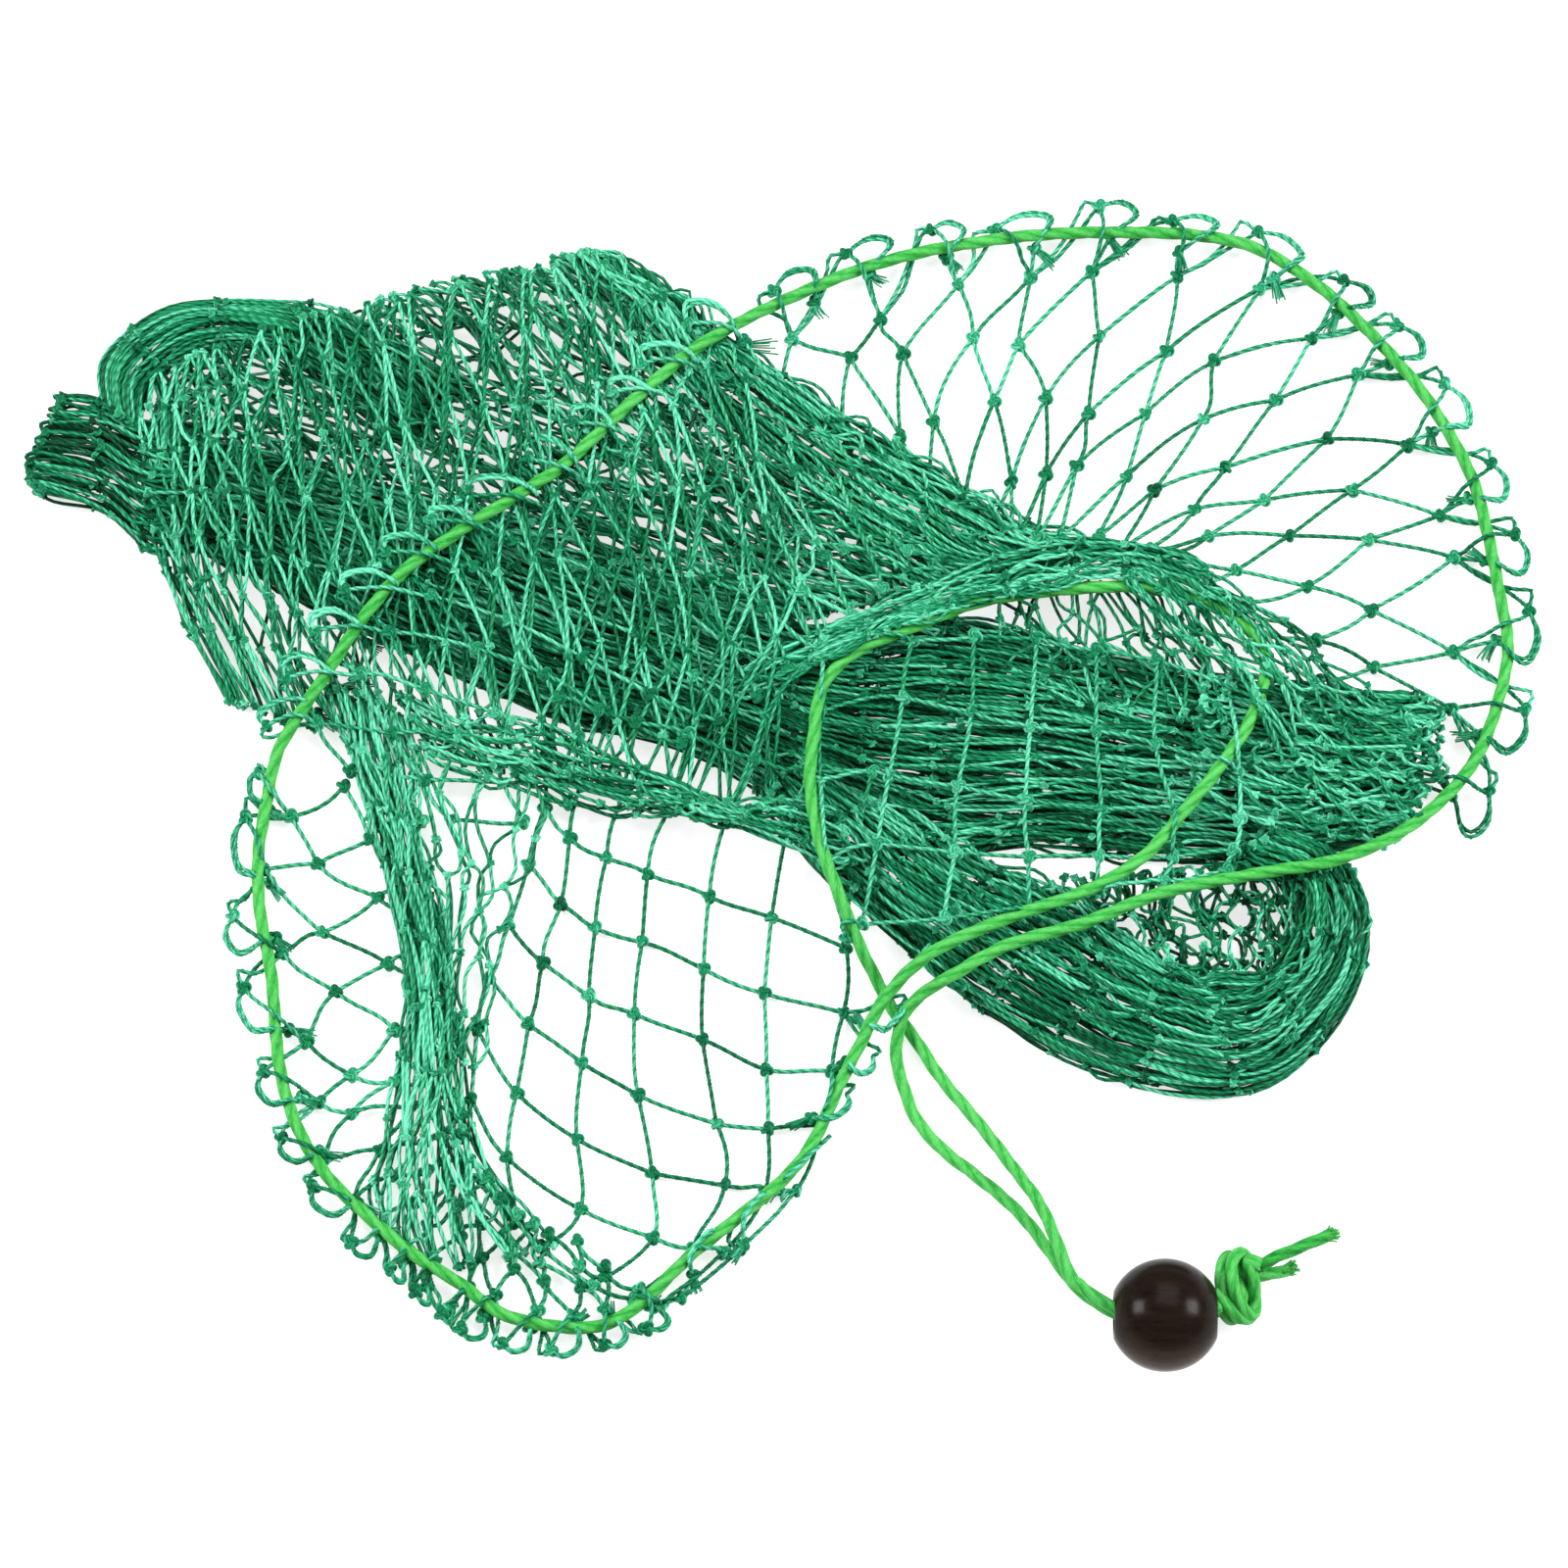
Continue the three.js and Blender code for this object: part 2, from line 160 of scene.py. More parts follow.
SLOPE = [
    [(-99, 53, 2), (-95, 64, 3), (-90, 70, 3), (-72, 74, 2), (-54, 80, 2), (-36, 83, 1.5)],
    [(-94, 50, 3), (-84, 56, 4), (-72, 62, 4), (-56, 69, 4), (-40, 74, 3.5), (-27, 76, 3)],
    [(-85, 46, 4), (-72, 49, 4.5), (-56, 56, 4.5), (-41, 60, 4.5), (-27, 64, 4), (-15, 66, 3)],
    [(-70, 40, 4.5), (-54, 42, 4.5), (-39, 47, 4.5), (-24, 52, 4.5), (-12, 54, 4), (-1, 54, 3)],
    [(-50, 34, 4.5), (-36, 36, 4.5), (-22, 40, 4.5), (-8, 43, 4.5), (2, 45, 4), (11, 44, 3)],
    [(-27, 28, 4.5), (-14, 29, 4.5), (-2, 32, 4.5), (8, 34, 4.5), (18, 36, 4), (25, 37, 3)],
    [(0, 21, 4.5), (8, 24, 4.5), (16, 26, 4.5), (24, 28, 4.5), (31, 30, 4), (38, 32, 3)],
]
RIDGE = [
    [(-36, 84, 1), (-30, 84, 4), (-24, 82, 2)],
    [(-24, 73, 2), (-20, 76, 5), (-15, 76, 1.5)],
    [(-15, 61, 3), (-10, 66, 5), (-4, 67, 1.5)],
    [(-2, 50, 3), (4, 54, 5), (10, 58, 1.5)],
    [(11, 38, 3), (18, 44, 5), (24, 49, 1.5)],
    [(25, 30, 3), (32, 36, 5), (37, 40, 1.5)],
    [(38, 28, 3), (46, 32, 4.5), (48, 36, 1.5)],
]
CURTAIN = [
    [
        (-101, 63, 3), (-90, 67, 4.5), (-78, 72, 5), (-64, 75, 5.5), (-50, 78, 5.5), (-36, 82, 5),
        (-30, 83, 5), (-21, 77, 5), (-8, 68, 5.5),
    ],
    [
        (-100, 49, 4), (-91, 49, 7.5), (-82, 49, 8), (-68, 50, 8), (-53, 52, 8), (-36, 55, 7.5),
        (-22, 54, 7.5), (-10, 50, 7.5), (2, 44, 7),
    ],
    [
        (-97, 36, 3), (-88, 32, 7), (-80, 30, 7.5), (-68, 27, 8), (-52, 25, 8.5), (-36, 25, 8.5),
        (-20, 26, 8.5), (-6, 25, 8), (8, 23, 7.5),
    ],
    [
        (-93, 24, 2), (-84, 20, 3), (-76, 18, 3.5), (-64, 13, 4), (-51, 8, 5), (-36, 4, 6), (-22, 3, 7),
        (-8, 5, 8), (5, 10, 8),
    ],
    [
        (-86, 10, 1), (-82, 9, 1.5), (-75, 6, 2), (-64, 4, 2.5), (-52, 0, 3.5), (-38, -4, 4),
        (-24, -6, 4.5), (-9, -10, 6), (0, -6, 6),
    ],
]
HEM = [
    [(-59, 10, 4), (-56, 4, 5), (-54, 0, 3.5)],
    [(-50, 6, 5), (-47, 0, 5.5), (-45, -4, 4)],
    [(-38, 4, 6), (-37, -2, 6), (-36, -7, 4)],
    [(-28, 0, 6), (-27, -5, 6), (-26, -9, 4)],
    [(-17, -4, 6.5), (-17, -8, 7), (-18, -10, 5)],
    [(-8, -9, 7.5), (-8, -11, 8.5), (-8, -12, 7)],
    [(0, -8, 7.5), (2, -12, 8), (2, -16, 6)],
    [(9, -10, 6.5), (10, -15, 7), (12, -20, 5)],
]
COLLAR = [
    [(-90, 56, 3), (-90, 46, 5), (-90, 34, 3)],
    [(-100, 57, 3), (-99, 46, 5.5), (-98, 34, 3)],
    [(-106, 60, 3), (-106, 50, 5.5), (-105, 40, 3)],
    [(-112, 61, 3), (-114, 55, 4.5), (-116, 50, 4.5), (-117, 47, 4), (-115, 44, 3)],
]
ARC_FOLD = [
    [(-100, 54, 3), (-103, 56, 5), (-106, 58, 3)],
    [(-100, 60, 3), (-103, 62, 5.5), (-107, 66, 2)],
    [(-97, 64, 3), (-100, 68, 5.5), (-102, 72, 2)],
    [(-92, 68, 3), (-93, 72, 5.5), (-95, 76, 2)],
    [(-84, 69, 3), (-84, 72, 5), (-84, 77, 2)],
    [(-76, 66, 3), (-74, 70, 4), (-72, 76, 2)],
    [(-68, 60, 2.5), (-64, 64, 4), (-61, 71, 3)],
    [(-59, 52, 2.5), (-54, 56, 3.5), (-50, 63, 3)],
]
GATHER = [
    [(-16, 8, 4), (-14, 6, 5), (-14, 5, 4)],
    [(-6, 14, 6), (-4, 10, 7.5), (-4, 10, 6)],
    [(4, 18, 7), (5, 14, 8.5), (6, 14, 7)],
    [(12, 22, 7.5), (14, 18, 9), (16, 18, 7.5)],
    [(26, 28, 8), (27, 24, 9.5), (28, 22, 8)],
    [(40, 34, 8), (42, 28, 10), (44, 26, 8.5)],
    [(54, 34, 8), (54, 30, 10), (55, 28, 8.5)],
    [(65, 30, 7), (66, 28, 8), (65, 26, 7)],
]
SHEAF = [
    [(54, 34, 6.5), (54, 30, 8.5), (53, 26, 7)],
    [(64, 30, 7), (62, 25, 8), (60, 18, 6.5)],
    [(72, 26, 6.5), (70, 18, 8), (67, 10, 7)],
    [(82, 18, 5.5), (78, 10, 8), (74, 0, 7)],
    [(90, 12, 5), (87, 3, 7.5), (82, -9, 6)],
    [(97, 10, 4), (94, 0, 6.5), (88, -13, 5)],
    [(102, 6, 3), (100, -4, 4.5), (94, -14, 3.5)],
]
RAGGED_END = [
    [(66, 12, 6), (64, 4, 7.5), (63, -6, 6)],
    [(74, 12, 5.5), (74, 0, 7.5), (72, -12, 6)],
    [(84, 11, 5), (83, -1, 7.5), (80, -14, 5)],
    [(92, 10, 4.5), (92, -2, 7), (88, -14, 4.5)],
    [(98, 10, 4), (102, 7, 4.5), (98, 2, 6), (102, -3, 5.5), (96, -7, 5.5), (96, -12, 4), (92, -15, 3.5)],
]
SCREEN = [
    [(31, 26, 7), (40, 26, 7.5), (50, 27, 7.5), (60, 26, 7.5), (67, 22, 7.5)],
    level(5.5, (32, 20), (42, 22), (54, 21), (64, 18), (70, 15)),
    [(35, 14, 5.5), (45, 14, 6), (58, 13, 6), (67, 10, 6), (74, 7, 6)],
    [(38, 7, 6.5), (48, 7, 7), (60, 5, 7), (70, 2, 7), (76, 0, 7)],
]
RIGHT_MOUTH = [
    level(2.5,
        (-6, 76), (8, 84), (21, 89), (36, 90), (52, 94), (64, 90), (78, 88), (92, 78), (102, 66),
        (110, 52), (115, 36), (116, 18), (114, 5), (110, -4), (102, -12),
    ),
    level(1.5,
        (-4, 71), (4, 74), (16, 78), (31, 83), (46, 85), (58, 86), (72, 82), (84, 78), (94, 66),
        (102, 54), (107, 40), (107, 22), (106, 6), (102, -2), (97, -7),
    ),
    level(1,
        (-1, 58), (8, 64), (19, 68), (30, 70), (42, 71), (54, 70), (66, 68), (76, 62), (84, 54),
        (89, 44), (92, 34), (92, 24), (92, 14), (90, 6), (90, -2),
    ),
    level(2.5,
        (8, 42), (14, 46), (22, 50), (31, 53), (40, 54), (50, 54), (58, 52), (65, 48), (70, 42),
        (74, 36), (76, 30), (76, 24), (78, 18), (79, 12), (82, 6),
    ),
    level(5,
        (16, 28), (22, 29), (28, 32), (36, 34), (41, 36), (46, 36), (49, 36), (53, 34), (56, 34),
        (59, 32), (62, 30), (65, 28), (68, 26), (70, 22), (74, 18),
    ),
]
BRIDGE = [
    level(8.5, (7, 18), (6, 6), (6, -6), (7, -19), (10, -30)),
    level(8.5, (18, 18), (16, 8), (14, -4), (12, -16), (10, -28)),
    level(8.5, (28, 18), (27, 6), (25, -6), (24, -17), (22, -28)),
    level(8.5, (38, 18), (37, 4), (36, -8), (36, -18), (36, -27)),
    level(8.5, (48, 16), (47, 2), (48, -10), (48, -18), (48, -24)),
    level(8.5, (58, 14), (58, 0), (60, -10), (60, -18), (58, -22)),
    level(8, (69, 10), (70, -4), (70, -12), (69, -17), (68, -20)),
]
CRUMPLE = [
    [(43, -20, 4), (53, -20, 5), (64, -19, 5), (76, -18, 5)],
    [(44, -26, 2), (55, -26, 4), (66, -24, 4.5), (77, -23, 4)],
    [(48, -30, 1.5), (58, -32, 3), (68, -32, 4), (78, -28, 4)],
    [(54, -36, 1.5), (61, -37, 2), (70, -37, 3), (79, -34, 4)],
    [(58, -42, 1.5), (66, -42, 2), (72, -40, 3), (79, -38, 4)],
]
OVER_MOUTH = [
    [
        (-80, 2, 4), (-77, 11, 5.5), (-72, 18, 8.5), (-66, 27, 9.5), (-58, 34, 9.5), (-50, 40, 9),
        (-42, 46, 8), (-34, 53, 7), (-26, 60, 7), (-18, 68, 7), (-10, 76, 5),
    ],
    [
        (-75, 0, 4), (-70, 8, 6), (-64, 16, 8), (-58, 22, 8.5), (-52, 28, 8.5), (-44, 34, 8),
        (-35, 40, 7), (-28, 48, 6), (-20, 56, 6), (-12, 64, 6), (-4, 72, 4),
    ],
    [
        (-66, -4, 3), (-60, 2, 5), (-54, 8, 7), (-48, 14, 8.5), (-40, 20, 8.5), (-32, 24, 8.5),
        (-24, 31, 8), (-17, 38, 7), (-8, 46, 6), (-2, 55, 6), (4, 64, 4),
    ],
    [
        (-55, -9, 2.5), (-49, -4, 4), (-42, 2, 5.5), (-36, 6, 7.5), (-28, 10, 8.5), (-20, 14, 8.5),
        (-12, 20, 8.5), (-5, 27, 8), (2, 34, 7), (6, 42, 6), (11, 48, 5),
    ],
    [
        (-44, -12, 2), (-36, -9, 3), (-26, -5, 5), (-19, -2, 7), (-13, 2, 8.5), (-6, 6, 8.5),
        (0, 12, 8.5), (6, 16, 8.5), (12, 23, 8), (17, 28, 7), (20, 34, 6),
    ],
]
LEFT_OPEN = [
    level(8.5, (-34, 8), (-28, 6), (-22, 4), (-14, 2), (-4, -2), (4, -4), (14, -4)),
    [(-36, 1, 5.5), (-30, -2, 5), (-24, -6, 5), (-17, -8, 5), (-8, -10, 5.5), (1, -12, 6), (12, -15, 5.5)],
    level(2.5, (-36, -5), (-32, -10), (-26, -13), (-20, -16), (-11, -19), (-1, -22), (10, -27)),
    level(1, (-38, -14), (-33, -20), (-28, -24), (-21, -26), (-12, -30), (-2, -34), (10, -38)),
    level(1, (-41, -24), (-36, -30), (-29, -35), (-22, -38), (-12, -42), (-2, -47), (8, -48)),
    level(1, (-44, -33), (-38, -40), (-30, -46), (-22, -51), (-10, -56), (-2, -57), (7, -56)),
    level(1, (-46, -42), (-40, -52), (-31, -59), (-20, -64), (-8, -67), (-2, -68), (3, -68)),
    level(1.5, (-47, -54), (-41, -64), (-30, -72), (-19, -76), (-13, -78), (-8, -78), (-6, -78)),
    level(2, (-48, -65), (-40, -74), (-36, -78), (-28, -84), (-22, -86), (-18, -87), (-15, -86)),
]
RIGHT_TIES = level(2.5, (18, -40), (14, -48), (10, -54), (6, -62), (-1, -70), (-9, -76))
LEFT_RIM = [
    level(2.5,
        (-80, 0), (-82, -8), (-84, -23), (-82, -37), (-78, -52), (-75, -62), (-68, -72), (-64, -78),
        (-58, -82), (-54, -86), (-50, -89), (-46, -92), (-37, -94), (-30, -94), (-22, -92), (-16, -87),
    ),
    [(-70, -3, 2.5), *level(1.5,
        (-72, -15), (-72, -26), (-70, -38), (-67, -50), (-66, -59), (-62, -66), (-60, -70), (-56, -74),
        (-52, -77), (-47, -80), (-42, -82), (-37, -84), (-32, -85), (-27, -84), (-23, -82)
    )],
    [(-61, -6, 3.5), *level(2.5,
        (-62, -17), (-60, -26), (-58, -38), (-57, -48), (-56, -54), (-54, -60), (-52, -64), (-50, -68),
        (-48, -70), (-45, -73), (-42, -76), (-40, -78), (-36, -80), (-30, -81), (-26, -81)
    )],
    [(-54, -8, 4), *level(3.5,
        (-55, -18), (-54, -28), (-52, -38), (-51, -47), (-50, -54), (-48, -58), (-48, -62), (-46, -66),
        (-44, -68), (-43, -70), (-41, -72), (-38, -74), (-36, -76), (-32, -77), (-27, -78)
    )],
]
VEIL = [
    [(-69, 12, 4), (-57, 6, 4.5), (-44, 0, 5), (-32, -4, 4)],
    [(-62, 0, 3), (-54, -6, 3.5), (-46, -11, 3.5), (-38, -14, 3)],
    [(-58, -14, 3), (-52, -18, 3), (-46, -22, 2.5), (-42, -26, 2)],
    [(-54, -28, 3), (-50, -32, 3), (-47, -34, 2.5), (-44, -36, 2)],
    [(-52, -44, 3), (-50, -48, 3), (-48, -49, 2.5), (-46, -50, 2)],
]
STRAND = [
    [(-72, 12, 3), (-65, 10, 4.5), (-57, 6, 3)],
    [(-67, 2, 2.5), (-62, -1, 4.5), (-56, -2, 2.5)],
    [(-63, -10, 2), (-59, -11, 4.5), (-55, -12, 2)],
    [(-60, -22, 2), (-56, -24, 4.5), (-52, -24, 2)],
    [(-57, -36, 2), (-54, -36, 4.5), (-50, -36, 2)],
    [(-58, -49, 2), (-54, -50, 4.5), (-48, -48, 2)],
    [(-60, -60, 2), (-52, -63, 4), (-46, -60, 2)],
    [(-62, -69, 2), (-50, -74, 3.5), (-40, -70, 2)],
    [(-62, -74, 2), (-50, -81, 3), (-34, -78, 2)],
]


# ---- lines and surfaces

def catmull(before, start, end, after, share):
    """The points at the given shares of the way from start to end, on a smooth curve."""
    return 0.5 * (
        2 * start
        + (end - before) * share
        + (2 * before - 5 * start + 4 * end - after) * share ** 2
        + (3 * start - before - 3 * end + after) * share ** 3
    )


def smooth_line(points, per_span=12):
    """A smooth line through the points, with per_span steps between each two."""
    points = np.array(points, float)
    padded = np.vstack([2 * points[0] - points[1], points, 2 * points[-1] - points[-2]])
    shares = np.linspace(0, 1, per_span, endpoint=False)[:, None]
    spans = [catmull(*padded[i:i + 4], shares) for i in range(len(points) - 1)]
    return np.vstack(spans + [points[-1:]])


def lengths_along(line):
    steps = np.linalg.norm(np.diff(line, axis=0), axis=1)
    return np.concatenate([[0], np.cumsum(steps)])


def even_points(line, count):
    """count points at even distances along a line."""
    line = np.asarray(line, float)
    along = lengths_along(line)
    wanted = np.linspace(0, along[-1], count)
    return np.stack([np.interp(wanted, along, line[:, k]) for k in range(3)], axis=1)


def unit(vectors):
    return vectors / np.linalg.norm(vectors, axis=-1, keepdims=True)


def circle(angles, normal, binormal):
    """Directions at the given angles between two directions at right angles."""
    return np.cos(angles)[..., None] * normal + np.sin(angles)[..., None] * binormal


class Fold:
    """A smooth surface through guide lines: u runs along a line, v from line to line."""

    STEPS = 48

    def __init__(self, lines, by_points=False):
        self.lines = np.array([self.guide_points(x, by_points) for x in lines])
        gaps = np.linalg.norm(np.diff(self.lines, axis=0), axis=2).mean(axis=1)
        stops = np.concatenate([[0], np.cumsum(gaps)])
        self.stops = stops / stops[-1]
        self.length = stops[-1]
        self.width = np.mean([lengths_along(x)[-1] for x in self.lines])

    def guide_points(self, points, by_points):
        """A guide line's points, at even lengths or at even shares from point to point."""
        line = smooth_line(points)
        if not by_points:
            return even_points(line, self.STEPS + 1)
        shares = np.linspace(0, len(line) - 1, self.STEPS + 1)
        return np.stack([np.interp(shares, np.arange(len(line)), line[:, k]) for k in range(3)], axis=1)

    def at(self, u, v):
        u, v = np.clip(u, 0, 1), np.clip(v, 0, 1)
        place = u * self.STEPS
        left = np.minimum(place.astype(int), self.STEPS - 1)
        part = (place - left)[..., None]
        last = len(self.lines) - 1
        span = np.clip(np.searchsorted(self.stops, v, side="right") - 1, 0, last - 1)
        share = ((v - self.stops[span]) / (self.stops[span + 1] - self.stops[span]))[..., None]

        def guide(index):
            index = np.clip(index, 0, last)
            return self.lines[index, left] * (1 - part) + self.lines[index, left + 1] * part

        return catmull(guide(span - 1), guide(span), guide(span + 1), guide(span + 2), share)


# ---- tubes

class Strands:
    """Closed tubes gathered into one mesh, with a thread UV, a baking UV and a tone for each, painted shading
    included.
    """

    def __init__(self, tone=(0.2, 0.9)):
        self.points, self.faces, self.thread, self.tones = [], [], [], []
        self.tone = tone
        self.count = 0
        self.cells = []

    def add(self, points, faces, thread, tone, cell):
        """points (n, p, 3), faces (f, 4) and thread (f, 4, 2) of one shape, copied n times."""
        n, p = points.shape[:2]
        starts = self.count + np.arange(n) * p
        self.points.append(points.reshape(-1, 3))
        self.faces.append((faces[None] + starts[:, None, None]).reshape(-1, 4))
        self.thread.append(np.broadcast_to(thread, (n,) + faces.shape + (2,)).reshape(-1, 4, 2))
        self.tones.append(np.repeat(tone, p))
        self.cells.append(np.broadcast_to(cell, (n,) + faces.shape + (2,)))
        self.count += n * p

    def tubes(self, paths, radius, sides, rng, lobes=2, groove=0.22, pitch=3.6, turning=False,
              tone_and_painted_shade=0.0):
        """One tube along each path (n, k, 3): lobes strands laid up with the given pitch."""
        n, k = paths.shape[:2]
        along, normal, binormal = frames(paths)
        angle = 2 * math.pi * np.arange(sides) / sides
        turn = 2 * math.pi * along / pitch if turning else np.zeros_like(along)
        spin = angle[None, None, :] + turn[..., None]
        strand = spin - 2 * math.pi * along[..., None] / pitch
        reach = radius * (1 - groove + groove * np.abs(np.cos(0.5 * lobes * strand)))
        points = paths[:, :, None] + reach[..., None] * circle(spin, normal[:, :, None], binormal[:, :, None])
        faces, corner = tube_faces(k, sides)
        phase = corner[..., 0][None] / sides
        if not turning:
            phase = phase - along[:, corner[..., 1]] / pitch
        else:
            phase = np.broadcast_to(phase, (n,) + phase.shape[1:])
        thread = np.stack([phase, along[:, corner[..., 1]]], axis=-1)
        cell = corner / np.array([sides, k - 1])
        # Each tube's tone: random from strand to strand, plus the painted shading or painted light given for
        # its strands.
        self.add(points.reshape(n, -1, 3), faces, thread, rng.uniform(*self.tone, n) + tone_and_painted_shade, cell)

    def cord(self, path, rng, sides=24, groove=0.16):
        """One length of the drawstring along a path."""
        self.tubes(path[None], CORD_RADIUS, sides, rng, lobes=3, groove=groove, pitch=CORD_PITCH,
                   turning=True)

    def copies(self, shape, centres, scales, rng, tilt=0.5):
        """Copies of a small shape (points, faces, thread, cell), each turned its own way."""
        points, faces, thread, cell = shape
        n = len(centres)
        spin, lean, way = rng.uniform(0, 2 * math.pi, n), rng.normal(0, tilt, n), rng.uniform(0, 6.3, n)
        turns = rotations(spin, lean, way) * np.broadcast_to(scales, n)[:, None, None]
        placed = np.einsum("nij,pj->npi", turns, points) + centres[:, None]
        self.add(placed, faces, thread, rng.uniform(*self.tone, n), cell)

    def build(self, name, material):
        """Makes the mesh object, in metres."""
        points = np.vstack(self.points) * MM
        faces = np.vstack(self.faces)
        thread = np.vstack(self.thread)
        cells = sum(len(x) for x in self.cells)
        across = math.ceil(math.sqrt(cells))
        atlas, first = [], 0
        for block in self.cells:
            index = first + np.arange(len(block))
            corner = np.stack([index % across, index // across], axis=1)[:, None, None]
            atlas.append(((corner + 0.06 + 0.88 * block) / across).reshape(-1, 4, 2))
            first += len(block)
        mesh = bpy.data.meshes.new(name)
        mesh.vertices.add(len(points))
        mesh.vertices.foreach_set("co", points.ravel())
        mesh.loops.add(faces.size)
        mesh.loops.foreach_set("vertex_index", faces.ravel())
        mesh.polygons.add(len(faces))
        mesh.polygons.foreach_set("loop_start", np.arange(0, faces.size, 4))
        mesh.polygons.foreach_set("use_smooth", np.ones(len(faces), bool))
        mesh.update(calc_edges=True)
        mesh.uv_layers.new(name="thread").data.foreach_set("uv", thread.ravel())
        mesh.uv_layers.new(name="OFBake").data.foreach_set("uv", np.vstack(atlas).ravel())
        tone = mesh.attributes.new("tone", "FLOAT", "POINT")
        tone.data.foreach_set("value", np.concatenate(self.tones))
        mesh.materials.append(material)
        made = bpy.data.objects.new(name, mesh)
        bpy.context.scene.collection.objects.link(made)
        return made


def frames(paths):
    """Length so far and two directions across each path, carried along it without twist."""
    step = np.diff(paths, axis=1)
    size = np.linalg.norm(step, axis=2)
    along = np.concatenate([np.zeros((len(paths), 1)), np.cumsum(size, axis=1)], axis=1)
    ahead = np.gradient(paths, axis=1)
    ahead /= np.linalg.norm(ahead, axis=2, keepdims=True) + 1e-12
    up = np.where(np.abs(ahead[:, 0, 2:]) > 0.9, [1.0, 0.0, 0.0], [0.0, 0.0, 1.0])
    normal = np.zeros_like(paths)
    current = np.cross(ahead[:, 0], up)
    for i in range(paths.shape[1]):
        current = current - (current * ahead[:, i]).sum(axis=1, keepdims=True) * ahead[:, i]
        current = current / (np.linalg.norm(current, axis=1, keepdims=True) + 1e-12)
        normal[:, i] = current
    return along, normal, np.cross(ahead, normal)


def wall_corners(spans, sides):
    """Four corners as (side, ring) for each face of a tube's wall, spans faces long."""
    ring, side = np.meshgrid(np.arange(spans), np.arange(sides), indexing="ij")
    ring, side = ring.ravel(), side.ravel()
    return np.stack([
        np.stack([side, side + 1, side + 1, side], axis=1),
        np.stack([ring, ring, ring + 1, ring + 1], axis=1),
    ], axis=-1)


def tube_faces(k, sides):
    """Faces of a tube of k rings with both ends closed, and each corner's (side, ring)."""
    corner = wall_corners(k - 1, sides)
    caps = []                               # sides is even
    for i in range(1, sides - 2, 2):
        caps.append([(0, 0), (i + 2, 0), (i + 1, 0), (i, 0)])
        caps.append([(0, k - 1), (i, k - 1), (i + 1, k - 1), (i + 2, k - 1)])
    corner = np.vstack([corner, np.array(caps)])
    faces = corner[..., 1] * sides + corner[..., 0] % sides
    return faces, corner


def rotations(spin, lean, way):
    """Turn matrices: a lean about a level axis in the given direction, after a spin about z."""
    zero, one = np.zeros_like(spin), np.ones_like(spin)

    def about_z(a):
        return np.array([[np.cos(a), -np.sin(a), zero], [np.sin(a), np.cos(a), zero], [zero, zero, one]])

    def about_x(a):
        return np.array([[one, zero, zero], [zero, np.cos(a), -np.sin(a)], [zero, np.sin(a), np.cos(a)]])

    first, second, third, fourth = (np.moveaxis(m, 2, 0) for m in (
        about_z(spin), about_z(-way), about_x(lean), about_z(way)))
    return fourth @ third @ second @ first


# ---- weaving

OVER, UNDER, THREADED = 1, -1, 0


def lattice(columns, rows, square):
    """The knots' places in u and v, and the pairs of knots that bars join."""
    if square:
        u, v = np.meshgrid(np.linspace(0, 1, columns), np.linspace(0, 1, rows))
        index = np.arange(rows * columns).reshape(rows, columns)
        along = np.stack([index[:, :-1].ravel(), index[:, 1:].ravel()], axis=1)
        across = np.stack([index[:-1].ravel(), index[1:].ravel()], axis=1)
        return u.ravel(), v.ravel(), np.vstack([along, across])
    row, column = np.divmod(np.arange(rows * columns), columns)
    u = (column + 0.25 + 0.5 * (row % 2)) / columns
    v = row / (rows - 1)
    bars = []
    for j in range(rows - 1):
        for i in range(columns):
            for other in ((i - 1, i) if j % 2 == 0 else (i, i + 1)):
                if 0 <= other < columns:
                    bars.append((j * columns + i, (j + 1) * columns + other))
    return u, v, np.array(bars)


